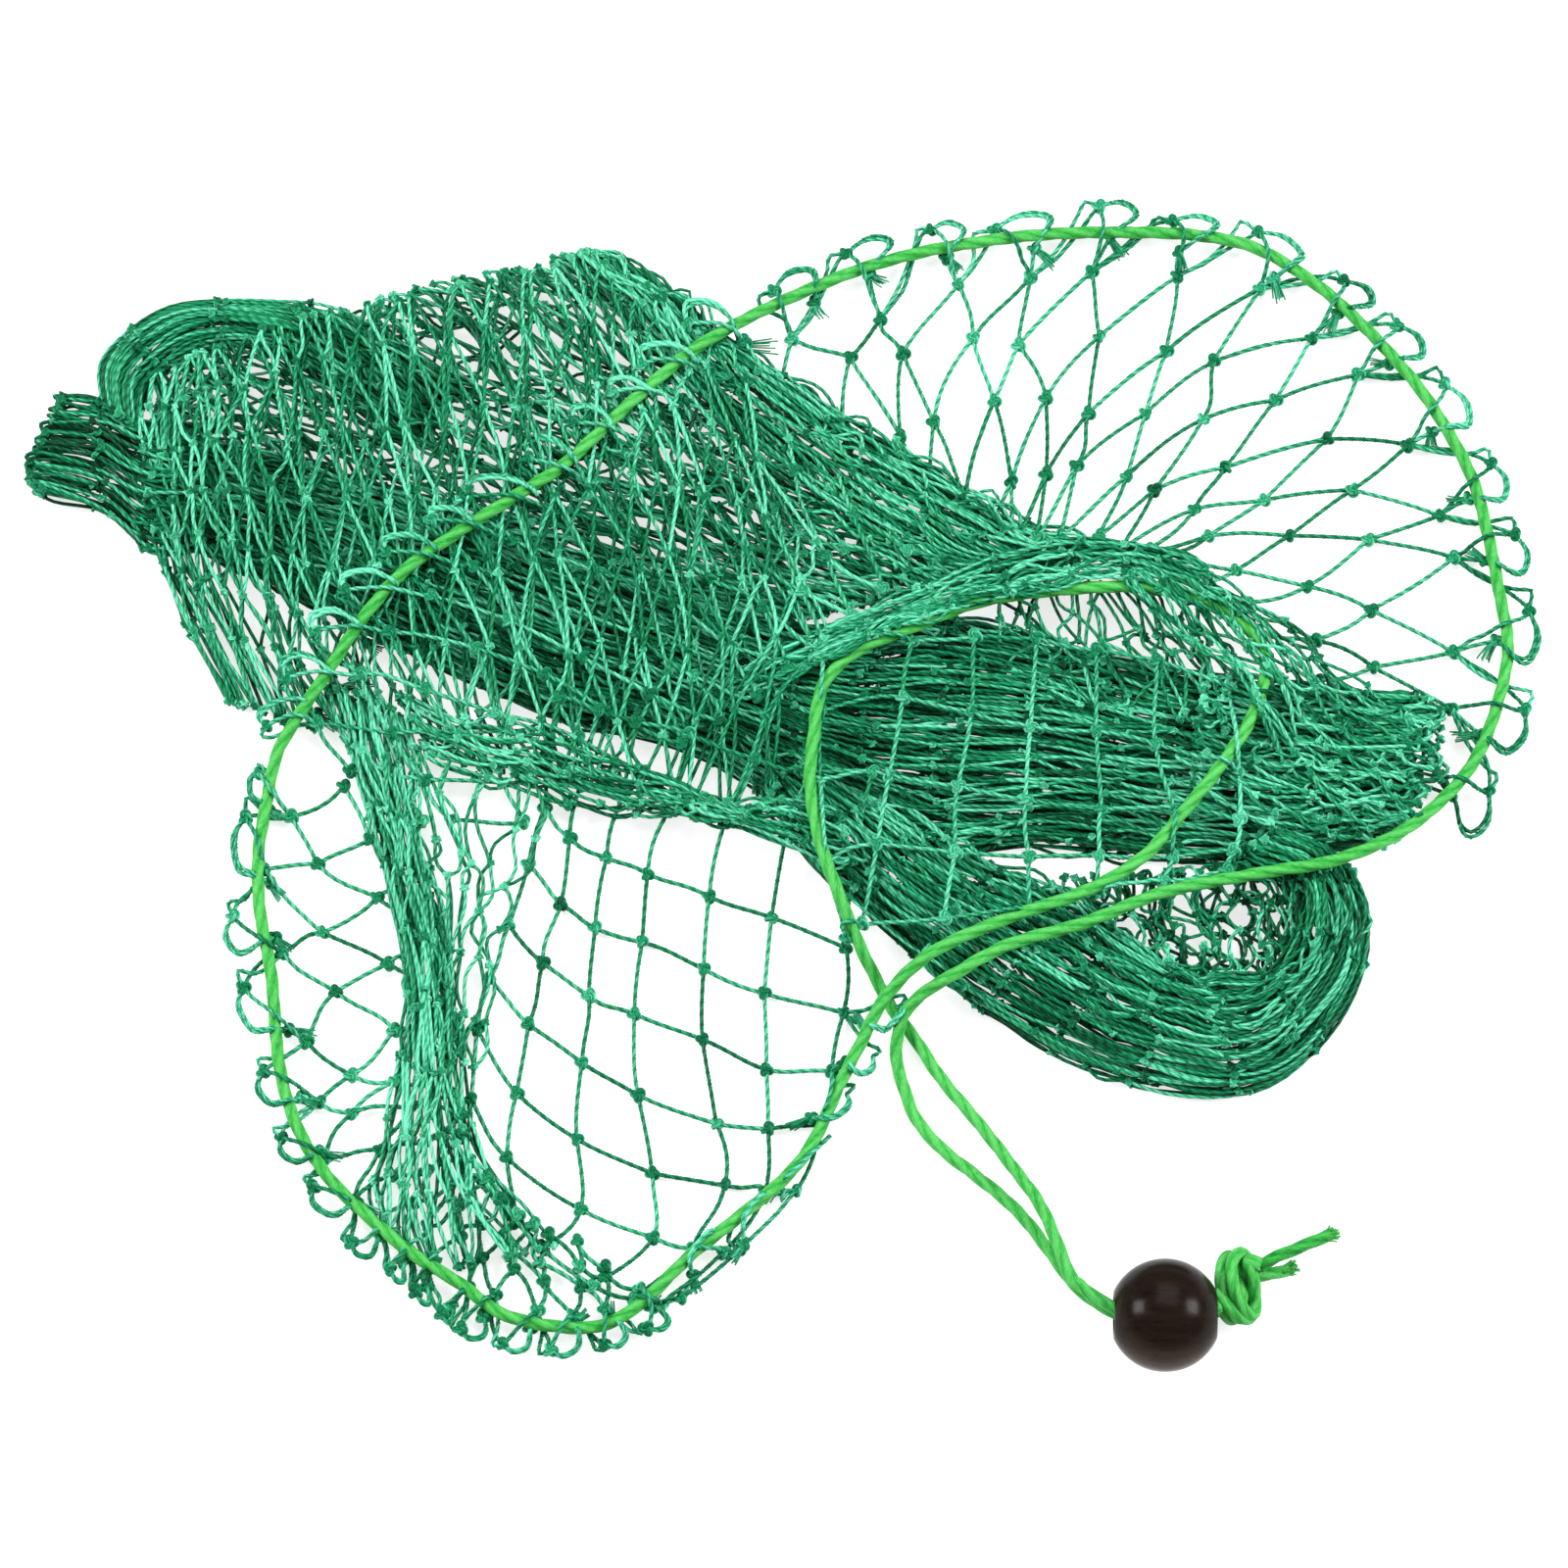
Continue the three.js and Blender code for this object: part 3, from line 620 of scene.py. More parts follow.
class Netting:
    """Bars and knots of netting on its folds, laid over or under the drawstring."""

    def __init__(self, cord, rng, tone):
        self.cord = cord
        self.rng = rng
        self.tone = tone
        self.bars = {False: [], True: []}       # of dense and of open meshes
        self.knots = {False: [], True: []}
        self.loops, self.fibres = [], []
        self.columns = 0

    def clear(self, points, side):
        """How far up or down each point goes to pass the drawstring on the given side."""
        flat = points.reshape(-1, 3)
        push = np.zeros(len(flat))
        side = np.broadcast_to(side, points.shape[:-1]).ravel()
        for start in range(0, len(flat), CLEAR_BATCH):
            batch = slice(start, start + CLEAR_BATCH)
            part = flat[batch]
            gap = np.linalg.norm(part[:, None, :2] - self.cord[None, :, :2], axis=2)
            near = gap.argmin(axis=1)
            distance = gap[np.arange(len(part)), near]
            fade = np.where(distance < CLEAR_REACH, (1 - (distance / CLEAR_REACH) ** 2) ** 2, 0)
            height = self.cord[near, 2]
            up = np.maximum(0, height + THREAD_CLEARANCE - part[:, 2])
            down = np.minimum(0, height - THREAD_CLEARANCE - part[:, 2])
            push[batch] = fade * np.where(side[batch] > 0, up, down)
        return push.reshape(points.shape[:-1])

    def weave(self, lines, columns, rows, square=False, lift=0.0, wander=0.3, stagger=1.0, rough=0.4,
              side=UNDER, open_mesh=False, slack=1.0, by_points=False, crowd=1.0, tone_and_painted_shade=0.0):
        """Weaves netting over a fold: straight where it is stretched, bowed where it is slack."""
        rng, fold = self.rng, Fold(lines, by_points)
        steps = OPEN_STEPS if open_mesh else DENSE_STEPS
        u, v, pairs = lattice(columns, rows, square)
        u = u ** crowd
        inner = np.minimum(1, 4 * np.minimum(v, 1 - v) + 0.45)
        u = u + rng.normal(0, wander, len(u)) / max(fold.width, 1)
        v = v + inner * rng.normal(0, stagger, len(v)) / fold.length
        height = rng.normal(0, rough, len(u)) + lift
        knots = fold.at(u, v)
        knots[:, 2] += height
        a, b = pairs[:, 0], pairs[:, 1]
        share = np.linspace(0, 1, steps + 1)[None, :]

        def along_bars(values):
            return values[a][:, None] * (1 - share) + values[b][:, None] * share

        paths = fold.at(along_bars(u), along_bars(v))
        paths[..., 2] += along_bars(height)
        paths = paths + self.bows(knots[b] - knots[a], share, slack)
        lifted = self.clear(knots, np.where(side > 0, 1, -1))
        knots[:, 2] += lifted
        paths[..., 2] += along_bars(lifted)
        sides = np.where(np.arange(len(a)) % 2 == 0, 1, -1)[:, None] if side == THREADED else side
        between = np.minimum(1, 6 * np.minimum(share, 1 - share))
        paths[..., 2] += between * self.clear(paths, sides)
        lowest = (OPEN_TWINE_RADIUS if open_mesh else TWINE_RADIUS) + FLOOR_GAP
        paths[..., 2] = np.maximum(paths[..., 2], lowest)
        knots[:, 2] = np.maximum(knots[:, 2], lowest + (OPEN_KNOT_RISE if open_mesh else DENSE_KNOT_RISE))
        self.bars[open_mesh].append((paths, tone_and_painted_shade))
        self.knots[open_mesh].append(knots)
        self.columns += columns
        return knots.reshape(rows, columns, 3)

    def bows(self, chords, share, slack):
        """How far each bar of netting bows sideways on its way: more, the less it is stretched."""
        rng, count = self.rng, len(chords)
        reach = np.linalg.norm(chords, axis=1) + 1e-9
        spare = np.clip(MESH_BAR - reach, 0.1, MESH_BAR)
        bow = np.minimum(np.sqrt(0.375 * reach * spare), MOST_BOW) * slack
        bow = bow * rng.choice([-1, 1], count) * rng.uniform(0.35, 1, count)
        sideways = np.stack([-chords[:, 1], chords[:, 0], np.zeros(count)], axis=1) / reach[:, None]
        hump = np.sin(math.pi * share) + 0.35 * np.sin(2 * math.pi * share) * rng.normal(0, 1, (count, 1))
        return sideways[:, None] * (bow[:, None] * hump)[..., None]

    def strand(self, points, steps=16, side=OVER, tone_and_painted_shade=0.1):
        """One extra length of twine through the points, passing the drawstring on one side."""
        line = even_points(smooth_line(points, 6), steps)
        share = np.linspace(0, 1, steps)
        line[:, 2] += np.minimum(1, 5 * np.minimum(share, 1 - share)) * self.clear(line, side)
        line[:, 2] = np.maximum(line[:, 2], OPEN_TWINE_RADIUS + FLOOR_GAP)
        self.loops.append((line[None], tone_and_painted_shade))

    def tuft(self, at, ahead, length, width=1.1):
        """A short cut tail of twine, flat and opened into fibres."""
        rng = self.rng
        ahead = unit(ahead)
        across = np.cross(ahead, [0, 0, 1.0])
        share = np.linspace(0, 1, 7)[:, None]
        curl = rng.normal(0, 0.35)
        for i in range(7):
            place = (i - 3) / 3
            reach = length * rng.uniform(0.75, 1.1)
            line = at + ahead * reach * share + across * (0.5 * width * place * (0.5 + 0.7 * share))
            line = line + across * curl * share ** 2
            line[:, 2] += 0.25 * math.cos(place * 1.5) + rng.normal(0, 0.05)
            line[:, 2] = np.maximum(line[:, 2], FIBRE_LOWEST)
            self.fibres.append(line[None])

    def rim(self, tips, inner, size=1.0, tone_and_painted_shade=0.1):
        """The loops that the drawstring runs through, doubled and tied off at each tip."""
        rng = self.rng
        for i in range(len(tips)):
            tip, right = tips[i], inner[min(i, len(inner) - 1)]
            left = inner[max(i - 1, 0)]
            gap = (tips[i + 1] - tip) if i + 1 < len(tips) else (tip - tips[i - 1])
            inward = unit((0.5 * (left + right) - tip) * (1, 1, 0))
            spread = min(1.0, np.linalg.norm(gap) / 11) * size
            knot = tip + gap * rng.uniform(0.3, 0.44) + inward * rng.uniform(4.4, 5.8) * spread
            knot[2] = 1.6 + rng.uniform(0, 0.5)
            for shift in (0.0, rng.uniform(0.5, 0.9)):
                self.rim_loop(tip, knot, gap, inward, spread, shift, tone_and_painted_shade)
            self.strand([knot, 0.5 * (knot + right) + inward * 0.4, right], side=UNDER, steps=12)
            bulge = tip - gap * 0.2 + inward * 0.2 * spread
            self.strand([tip, bulge - inward * 0.5, bulge + inward * 1.8, 0.6 * left + 0.4 * tip, left],
                        side=UNDER)
            self.knots[True].append(knot[None])
            way = inward * rng.uniform(0.4, 1) + unit(gap) * rng.uniform(-0.5, 0.9)
            self.tuft(knot, way, rng.uniform(2.6, 5.0) * spread, 1.3 * spread + 0.2)

    def rim_loop(self, tip, knot, gap, inward, spread, shift, tone_and_painted_shade):
        """One turn of a loop, from a tip of the netting outward, round and back in to its knot."""
        crest = tip + gap * (0.22 + 0.06 * shift) - inward * (1.3 + 0.7 * shift) * spread
        turn = tip + gap * (0.48 + 0.05 * shift) - inward * (0.2 + 0.4 * shift) * spread
        fall = tip + gap * (0.5 + 0.06 * shift) + inward * (2.4 - shift) * spread
        self.strand([tip, crest, turn, fall, knot], steps=22, tone_and_painted_shade=tone_and_painted_shade)

    def layers(self, lines, columns, rows, lifts, **choices):
        """Several layers of netting over one fold. Gives the last two rows of each layer's knots."""
        counts = columns if hasattr(columns, "__len__") else [columns] * len(lifts)
        ends = []
        for place, (count, lift) in enumerate(zip(counts, lifts)):
            # Painted shading: the lower a layer lies in its fold, the darker its strands are drawn.
            tone_and_painted_shade = LOWEST_LAYER_PAINTED_SHADE * (1 - place / max(len(lifts) - 1, 1))
            ends.append(self.weave(lines, count, rows, lift=lift, tone_and_painted_shade=tone_and_painted_shade, **choices)[-2:])
        return ends

    def hem(self, ends, reach):
        """Ends layers of netting in a row of small loops between their last knots."""
        for before, last in ends:
            ahead = unit(last.mean(axis=0) - before.mean(axis=0)) * reach
            for a, b in zip(last[:-1:2], last[1::2]):
                lean = self.rng.uniform(-0.3, 0.3)
                turn = (0.5 - lean) * a + (0.5 + lean) * b + ahead * self.rng.uniform(0.7, 1.6)
                rise, fall = 0.5 * (a + turn) + ahead * 0.4, 0.5 * (b + turn) + ahead * 0.2
                self.strand([a, rise, turn, fall, b], steps=9)

    def build(self, name, node):
        """Makes the netting one piece, which stands for its solid."""
        strands = Strands(self.tone)
        for paths, tone_and_painted_shade in self.bars[False]:
            strands.tubes(paths, TWINE_RADIUS, 6, self.rng, groove=0.1, tone_and_painted_shade=tone_and_painted_shade)
        for paths, tone_and_painted_shade in self.bars[True] + self.loops:
            strands.tubes(paths, OPEN_TWINE_RADIUS, 6, self.rng, turning=True, tone_and_painted_shade=tone_and_painted_shade)
        if self.fibres:
            strands.tubes(np.vstack(self.fibres), FIBRE_RADIUS, 4, self.rng, groove=0.0)
        for knots in self.knots[False]:
            strands.copies(DENSE_KNOT, knots, self.rng.uniform(0.85, 1.1, len(knots)), self.rng)
        for knots in self.knots[True]:
            strands.copies(OPEN_KNOT, knots, self.rng.uniform(0.92, 1.1, len(knots)), self.rng, tilt=0.3)
        piece = strands.build(name, twine_green)
        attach(piece, "bag")
        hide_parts(node)
        return piece


def knot_shape(steps, sides, size, radius):
    """A small closed overhand knot of one strand, as a shape for copying."""
    t = 2 * math.pi * np.arange(steps) / steps
    line = np.stack([
        np.sin(t) + 2 * np.sin(2 * t),
        np.cos(t) - 2 * np.cos(2 * t),
        -1.3 * np.sin(3 * t),
    ], axis=1) * size / 3
    ahead = unit(np.roll(line, -1, axis=0) - np.roll(line, 1, axis=0))
    normal = unit(np.cross(ahead, [0, 0, 1.0]))
    angle = 2 * math.pi * np.arange(sides) / sides
    ring = circle(angle, normal[:, None], np.cross(ahead, normal)[:, None])
    points = (line[:, None] + radius * ring).reshape(-1, 3)
    corner = wall_corners(steps, sides)
    faces = (corner[..., 1] % steps) * sides + corner[..., 0] % sides
    stride = 2 * math.pi * size * 0.8 / steps
    thread = np.stack([corner[..., 0] / sides, corner[..., 1] * stride], axis=-1)
    return points, faces, thread, corner / np.array([sides, steps])


OPEN_KNOT = knot_shape(26, 5, 0.88, 0.41)
DENSE_KNOT = knot_shape(11, 4, 0.6, 0.34)


# ---- the drawstring

def bend_point(degrees, height):
    """A point on the tails' bend: 0 degrees is the middle of the bead's bore."""
    t = math.radians(degrees)
    x, y, z = BEAD_CENTRE
    return (x - BEND_RADIUS * math.sin(t), y - BEND_OFFSET + BEND_RADIUS * (1 - math.cos(t)), z + height)


def cord_points(line):
    return even_points(line, int(lengths_along(line)[-1] / CORD_STEP) + 2)


def cord_tube(name, line, material):
    """A cord of three strands along a line of points in millimetres."""
    path = cord_points(line)
    strands = Strands()
    strands.cord(path, np.random.default_rng(5))
    piece = strands.build(name, material)
    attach(piece, "bag")
    return piece, path


def drawstring_line():
    """The whole cord: from the stop knot through the bead, round both loops, and back to the knot."""
    angles = np.linspace(BEND_TO, BEND_FROM, 12)
    lower = [bend_point(a, -PAIR_SPACING / 2) for a in angles]
    upper = [bend_point(a, PAIR_SPACING / 2) for a in angles]
    loops = LOWER_TAIL_ROUTE[::-1] + MOUTH_ROUTE + INNER_LOOP_ROUTE + UPPER_TAIL_ROUTE
    return smooth_line(lower[::-1] + loops + upper)


KNOT_WRAPS = [
    (-4.2, -2.0, 2.6), (-2.6, -3.6, 2.6), (-0.6, -4.9, 0.6), (1.4, -3.2, -2.4), (1.6, 0.8, -3.2),
    (0.9, 4.2, -2.0), (-0.6, 5.0, 0.8), (-1.9, 2.8, 3.0), (-2.0, -0.6, 3.8), (-1.0, -3.4, 2.8),
    (0.8, -4.4, 0.0), (2.0, -1.8, -0.6), (1.8, 1.4, 1.6), (1.4, 3.4, 2.6), (3.0, 3.0, 2.4),
]
KNOT_CORE = [(-2.8, 2.6, -1.6), (-0.6, 1.4, -0.2), (0.3, -0.6, 1.2), (0.2, -2.6, 0.4), (0.4, -3.8, -1.6)]


def stop_knot(centre, material):
    """The stop knot: both tails laid side by side in one tight overhand knot."""
    # Painted light: the knot's strands take a higher tone than the cord's and are drawn lighter.
    strands = Strands((0.75, 1.05))
    rng = np.random.default_rng(11)
    line = smooth_line(KNOT_WRAPS)
    ahead = np.gradient(line, axis=0)
    side = unit(np.cross(ahead, line - line.mean(axis=0)))
    paths = [line + side * shift for shift in (-0.98, 0.98)] + [smooth_line(KNOT_CORE)]
    for path in paths:
        path = cord_points(path) + centre
        path[:, 2] = np.maximum(path[:, 2], CORD_RADIUS + 0.05)
        strands.cord(path, rng)
    piece = strands.build("stop_knot_wraps", material)
    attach(piece, "bag")
    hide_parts("stop_knot")
    return piece


def cut_end(name, route, node, material, seed):
    """A cut end of the cord that opens into loose fibres."""
    rng = np.random.default_rng(seed)
    body = cord_points(smooth_line(route))
    strands = Strands()
    strands.cord(body, rng, sides=18, groove=0.2)
    ahead = unit(body[-1] - body[-4])
    fibres = []
    for _ in range(END_FIBRES):
        side = rng.normal(0, 1, 3)
        side = unit(side - side.dot(ahead) * ahead)
        start = body[-1] - 1.2 * ahead + side * CORD_RADIUS * rng.uniform(0.15, 0.8)
        reach = rng.uniform(1.6, 2.8)
        spread = side * rng.uniform(0.0, 0.8)
        share = np.linspace(0, 1, 6)[:, None]
        fibres.append(start + ahead * reach * share + spread * share ** 2)
    strands.tubes(np.array(fibres), END_FIBRE_RADIUS, 6, rng, groove=0.0)
    piece = strands.build(name, material)
    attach(piece, "bag")
    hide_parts(node)
    return piece


# ---- the bead

def bead_profile():
    """Half the bead's outline from one rim of the bore to the other: (along, out)."""
    edge = math.asin(BEAD_HALF_LENGTH / BEAD_RADIUS)
    outer = [(BEAD_RADIUS * math.sin(a), BEAD_RADIUS * math.cos(a)) for a in np.linspace(-edge, edge, 65)]
    inside = BEAD_HALF_LENGTH - BEAD_CHAMFER
    bore_in = [(-inside, BEAD_BORE), (-BEAD_HALF_LENGTH + 0.1, BEAD_BORE + 0.1),
               (-BEAD_HALF_LENGTH, BEAD_BORE + BEAD_CHAMFER)]
    bore_out = [(-x, r) for x, r in reversed(bore_in)]
    middle = [(x, BEAD_BORE) for x in np.linspace(inside, -inside, 12)[1:-1]]
    return bore_in + outer + bore_out + middle


def make_bead(material):
    """A turned wooden bead with a bore along x, flat at both ends."""
    profile = bead_profile()
    around = 128
    points, faces = [], []
    for i in range(around):
        a = 2 * math.pi * i / around
        for x, r in profile:
            points.append(((BEAD_CENTRE + (x, r * math.cos(a), r * math.sin(a))) * MM).tolist())
    n = len(profile)
    for i in range(around):
        for j in range(n):
            a, b = i * n + j, i * n + (j + 1) % n
            c, d = ((i + 1) % around) * n + (j + 1) % n, ((i + 1) % around) * n + j
            faces.append((a, d, c, b))
    mesh = bpy.data.meshes.new("wooden_bead")
    mesh.from_pydata(points, [], faces)
    mesh.polygons.foreach_set("use_smooth", [True] * len(faces))
    mesh.update()
    mesh.materials.append(material)
    piece = bpy.data.objects.new("wooden_bead", mesh)
    bpy.context.scene.collection.objects.link(piece)
    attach(piece, "bead")
    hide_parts("bead")
    return piece


# ---- materials

class Nodes:
    """Short calls for building a material's nodes."""

    def __init__(self, name):
        self.material = bpy.data.materials.new(name)
        self.material.use_nodes = True
        self.tree = self.material.node_tree
        self.shader = self.tree.nodes["Principled BSDF"]

    def node(self, kind, values=None, **settings):
        made = self.tree.nodes.new(kind)
        for key, value in settings.items():
            setattr(made, key, value)
        for key, value in (values or {}).items():
            self.put(made.inputs[key], value)
        return made

    def put(self, socket, value):
        if isinstance(value, bpy.types.NodeSocket):
            self.tree.links.new(value, socket)
        else:
            socket.default_value = value

    def set(self, **inputs):
        """Sets the shader's inputs, each named with _ for a space."""
        for key, value in inputs.items():
            self.put(self.shader.inputs[key.replace("_", " ")], value)

    def total(self, *parts, plus=0.0, clamp=False):
        """Adds up parts, each a socket and its weight."""
        value = plus
        for socket, weight in parts:
            value = self.math("MULTIPLY_ADD", socket, weight, value)
        value.node.use_clamp = clamp
        return value

    def ramp(self, share, *stops):
        """A colour for each share, through stops of (share, red, green, blue)."""
        made = self.node("ShaderNodeValToRGB")
        elements = made.color_ramp.elements
        while len(elements) < len(stops):
            elements.new(0.5)
        for element, (place, *colour) in zip(elements, stops):
            element.position = place
            element.color = (*colour, 1)
        self.put(made.inputs[0], share)
        return made.outputs[0]

    def split(self, vector):
        made = self.node("ShaderNodeSeparateXYZ")
        self.put(made.inputs[0], vector)
        return made.outputs

    def relief(self, height, strength, distance):
        values = {"Strength": strength, "Distance": distance * MM, "Height": height}
        self.set(Normal=self.node("ShaderNodeBump", values).outputs[0])

    def math(self, operation, *values, clamp=False):
        made = self.node("ShaderNodeMath", operation=operation, use_clamp=clamp)
        for socket, value in zip(made.inputs, values):
            self.put(socket, value)
        return made.outputs[0]

    def mix(self, share, a, b):
        made = self.node("ShaderNodeMix", data_type="RGBA")
        for socket, value in zip((made.inputs[0], made.inputs[6], made.inputs[7]), (share, a, b)):
            self.put(socket, value)
        return made.outputs[2]

    def noise(self, vector, scale, detail=2.0, roughness=0.5):
        return self.node("ShaderNodeTexNoise", {
            "Vector": vector, "Scale": scale, "Detail": detail, "Roughness": roughness,
        }).outputs["Fac"]

    def scaled(self, vector, amounts):
        made = self.node("ShaderNodeVectorMath", operation="MULTIPLY")
        self.put(made.inputs[0], vector)
        made.inputs[1].default_value = amounts
        return made.outputs[0]


def thread_material(name, lobes, dark, main, light, roughness, bump):
    """Laid-up plastic thread: grooves between its strands, fibres along them, uneven colour, with painted
    shading in the grooves and a painted highlight on the crests.
    """
    n = Nodes(name)
    uv = n.node("ShaderNodeUVMap", uv_map="thread").outputs["UV"]
    turn = n.math("MULTIPLY", n.split(uv)["X"], math.pi * lobes)
    ridge = n.math("ABSOLUTE", n.math("COSINE", turn))
    fibres = n.noise(n.scaled(uv, (24.0, 0.9, 1.0)), 1.0, 3.0, 0.65)
    place = n.node("ShaderNodeTexCoord").outputs["Object"]
    patches = n.noise(place, 45.0, 2.0)
    tone = n.node("ShaderNodeAttribute", attribute_name="tone").outputs["Fac"]
    # The ramp's place: painted shading in the grooves and a painted highlight on the crests from the ridges,
    # random fibres and patches, and each strand's tone with its painted shading.
    tone_and_painted_shade = n.total((ridge, 0.34), (fibres, 1.3), (tone, 0.5), (patches, 0.5), plus=-0.77, clamp=True)
    n.set(
        Base_Color=n.ramp(tone_and_painted_shade, (0.12, *dark), (0.58, *main), (0.98, *light)),
        Roughness=n.total((fibres, 0.24), plus=roughness - 0.12),
        Specular_IOR_Level=0.12,
        Sheen_Weight=0.05,
        Sheen_Roughness=0.4,
        Sheen_Tint=(*light, 1),
    )
    n.relief(n.total((ridge, 0.7), (fibres, 0.5)), 0.7, bump)
    return n.material


def wood_material():
    """Wood with a dark stain under satin lacquer, its grain along x, and a painted reflection of the floor:
    lighter brown towards the bottom of the bead as the camera sees it.
    """
    n = Nodes("bead_wood")
    place = n.node("ShaderNodeTexCoord").outputs["Object"]
    grain = n.noise(n.scaled(place, (90.0, 700.0, 700.0)), 1.0, 4.0, 0.6)
    pores = n.noise(n.scaled(place, (260.0, 3400.0, 3400.0)), 1.0, 2.0, 0.5)
    pore = n.math("LESS_THAN", pores, 0.36)
    stain = n.ramp(grain, (0.25, 0.0045, 0.0026, 0.002), (0.8, 0.0165, 0.0095, 0.0058))
    # Painted reflection of the floor: lighter brown towards the bottom of the bead as the camera sees it.
    part = n.split(place)
    start = PAINTED_REFLECTION_FROM * MM * PAINTED_REFLECTION_GAIN
    across = n.total((part["Z"], 0.34), (part["Y"], 0.94))
    painted_reflection = n.total((across, -PAINTED_REFLECTION_GAIN), plus=start, clamp=True)
    painted_reflection = n.math("MULTIPLY", n.math("MULTIPLY", painted_reflection, painted_reflection), n.math("ADD", 0.35, grain))
    stain_and_painted_reflection = n.mix(painted_reflection, stain, (0.085, 0.056, 0.037, 1))
    n.set(
        Base_Color=n.mix(n.math("MULTIPLY", pore, 0.6), stain_and_painted_reflection, (0.001, 0.0007, 0.0006, 1)),
        Roughness=n.total((grain, 0.12), plus=0.17),
        Specular_IOR_Level=0.07,
    )
    n.relief(n.total((grain, 0.5), (pore, -0.6)), 0.25, 0.05)
    return n.material


# ---- stage

def make_floor():
    bpy.ops.mesh.primitive_plane_add(size=6)
    floor = bpy.context.object
    floor.name = "floor"
    n = Nodes("floor_paper")
    n.set(Base_Color=(0.4, 0.4, 0.4, 1), Emission_Color=(1, 1, 1, 1), Emission_Strength=0.72,
          Roughness=0.9, Specular_IOR_Level=0.1)
    floor.data.materials.append(n.material)


# Each softbox's place and size in metres, and its power in watts.
SOFTBOXES = [
    ((-0.9, 0.04, 0.62), 0.42, 12.0),
    ((0.9, 0.02, 0.62), 0.42, 12.0),
    ((0.1, 0.5, 1.1), 0.9, 9.0),
]


def make_lights():
    world = bpy.data.worlds.new("studio")
    world.use_nodes = True
    colour, strength = world.node_tree.nodes["Background"].inputs[:2]
    colour.default_value = (1, 1, 1, 1)
    strength.default_value = 0.35
    bpy.context.scene.world = world
    for place, size, power in SOFTBOXES:
        data = bpy.data.lights.new("softbox", "AREA")
        data.size = size
        data.energy = power
        lamp = bpy.data.objects.new("softbox", data)
        lamp.location = place
        lamp.rotation_euler = (-Vector(place)).to_track_quat("-Z", "Y").to_euler()
        bpy.context.scene.collection.objects.link(lamp)


CAMERA_TARGET = Vector((0.0005, -0.0031, 0))
CAMERA_ELEVATION = math.radians(70)
CAMERA_DISTANCE = 1.15
WIDTH_SEEN = 0.2416        # metres, at the target
SENSOR_WIDTH = 36.0        # mm


def make_camera():
    """Looks down at the heap steeply, from far enough that it hardly widens."""
    data = bpy.data.cameras.new("camera")
    data.lens = SENSOR_WIDTH * CAMERA_DISTANCE / WIDTH_SEEN
    data.sensor_width = SENSOR_WIDTH
    data.clip_end = 10
    camera = bpy.data.objects.new("camera", data)
    away = Vector((0, -math.cos(CAMERA_ELEVATION), math.sin(CAMERA_ELEVATION)))
    camera.location = CAMERA_TARGET + away * CAMERA_DISTANCE
    camera.rotation_euler = (-away).to_track_quat("-Z", "Y").to_euler()
    bpy.context.scene.collection.objects.link(camera)
    bpy.context.scene.camera = camera
    bpy.context.scene.view_settings.view_transform = "Standard"


# ---- the object

make_camera()
make_floor()
make_lights()

cord_green = thread_material("drawstring_cord", 3, dark=(0.004, 0.12, 0.014), main=(0.024, 0.3, 0.04),
                             light=(0.09, 0.46, 0.1), roughness=0.5, bump=0.1)
twine_green = thread_material("net_twine", 2, dark=(0.0, 0.024, 0.008), main=(0.001, 0.215, 0.08),
                              light=(0.15, 0.66, 0.43), roughness=0.5, bump=0.08)

cord_line = drawstring_line()
drawstring, cord_path = cord_tube("drawstring_cord", cord_line, cord_green)
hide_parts("drawstring_mouth", "drawstring_inner_loop", "drawstring_tail_upper",
            "drawstring_tail_lower")
knot_centre = (np.array(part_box("stop_knot")[0]) + np.array(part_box("stop_knot")[1])) / 2 / MM
knot = stop_knot(knot_centre, cord_green)
LONG_END = [(71.5, -82.5, 7.2), (74.5, -81, 7.7), (78, -79.4, 7.2), (82.3, -77.3, 6.4)]
SHORT_END = [(70.5, -83.6, 5.8), (72.4, -83.3, 5.3), (74.2, -82.8, 4.8), (76.0, -82.2, 4.4)]
long_end = cut_end("frayed_end_long", LONG_END, "cut_end_long", cord_green, 3)
short_end = cut_end("frayed_end_short", SHORT_END, "cut_end_short", cord_green, 4)
bead = make_bead(wood_material())

all_cords = even_points(cord_line, int(lengths_along(cord_line)[-1] / 1.2))


# What all open meshes share. The cord runs over and under their bars in turn.
OPEN = {"open_mesh": True, "side": THREADED, "rough": 0.2}


# Each piece's strands take tones at random within its range; the ranges are lower on the deep folds of the
# bundle, lobe, collar and arc fold as painted shading, and higher on netting lying on top as painted light.
def netting(seed, tone):
    return Netting(all_cords, np.random.default_rng(seed), tone)


# Each bundle layer's lift in mm and its painted shading: the lower the layer, the darker it is drawn.
BUNDLE_LAYERS = [(-3.0, -0.6), (-2.2, -0.5), (-1.2, -0.4), (0.0, -0.25), (1.1, 0.05)]
for layer, (lift, tone_and_painted_shade) in enumerate(BUNDLE_LAYERS):
    net = netting(31 + layer, (-0.45, 0.9))
    net.weave(BUNDLE, 28, 18, lift=lift, tone_and_painted_shade=tone_and_painted_shade, wander=0.4, stagger=2.2, rough=0.45, slack=0.5)
    net.build(f"twine_bundle_{layer + 1}", "net_bundle")

net = netting(22, (-0.4, 0.8))
net.layers(LOBE, 24, 12, (-2.6, -0.7), wander=0.4, stagger=1.6, rough=0.5, slack=0.6)
net.build("twine_lobe_under", "net_lobe")

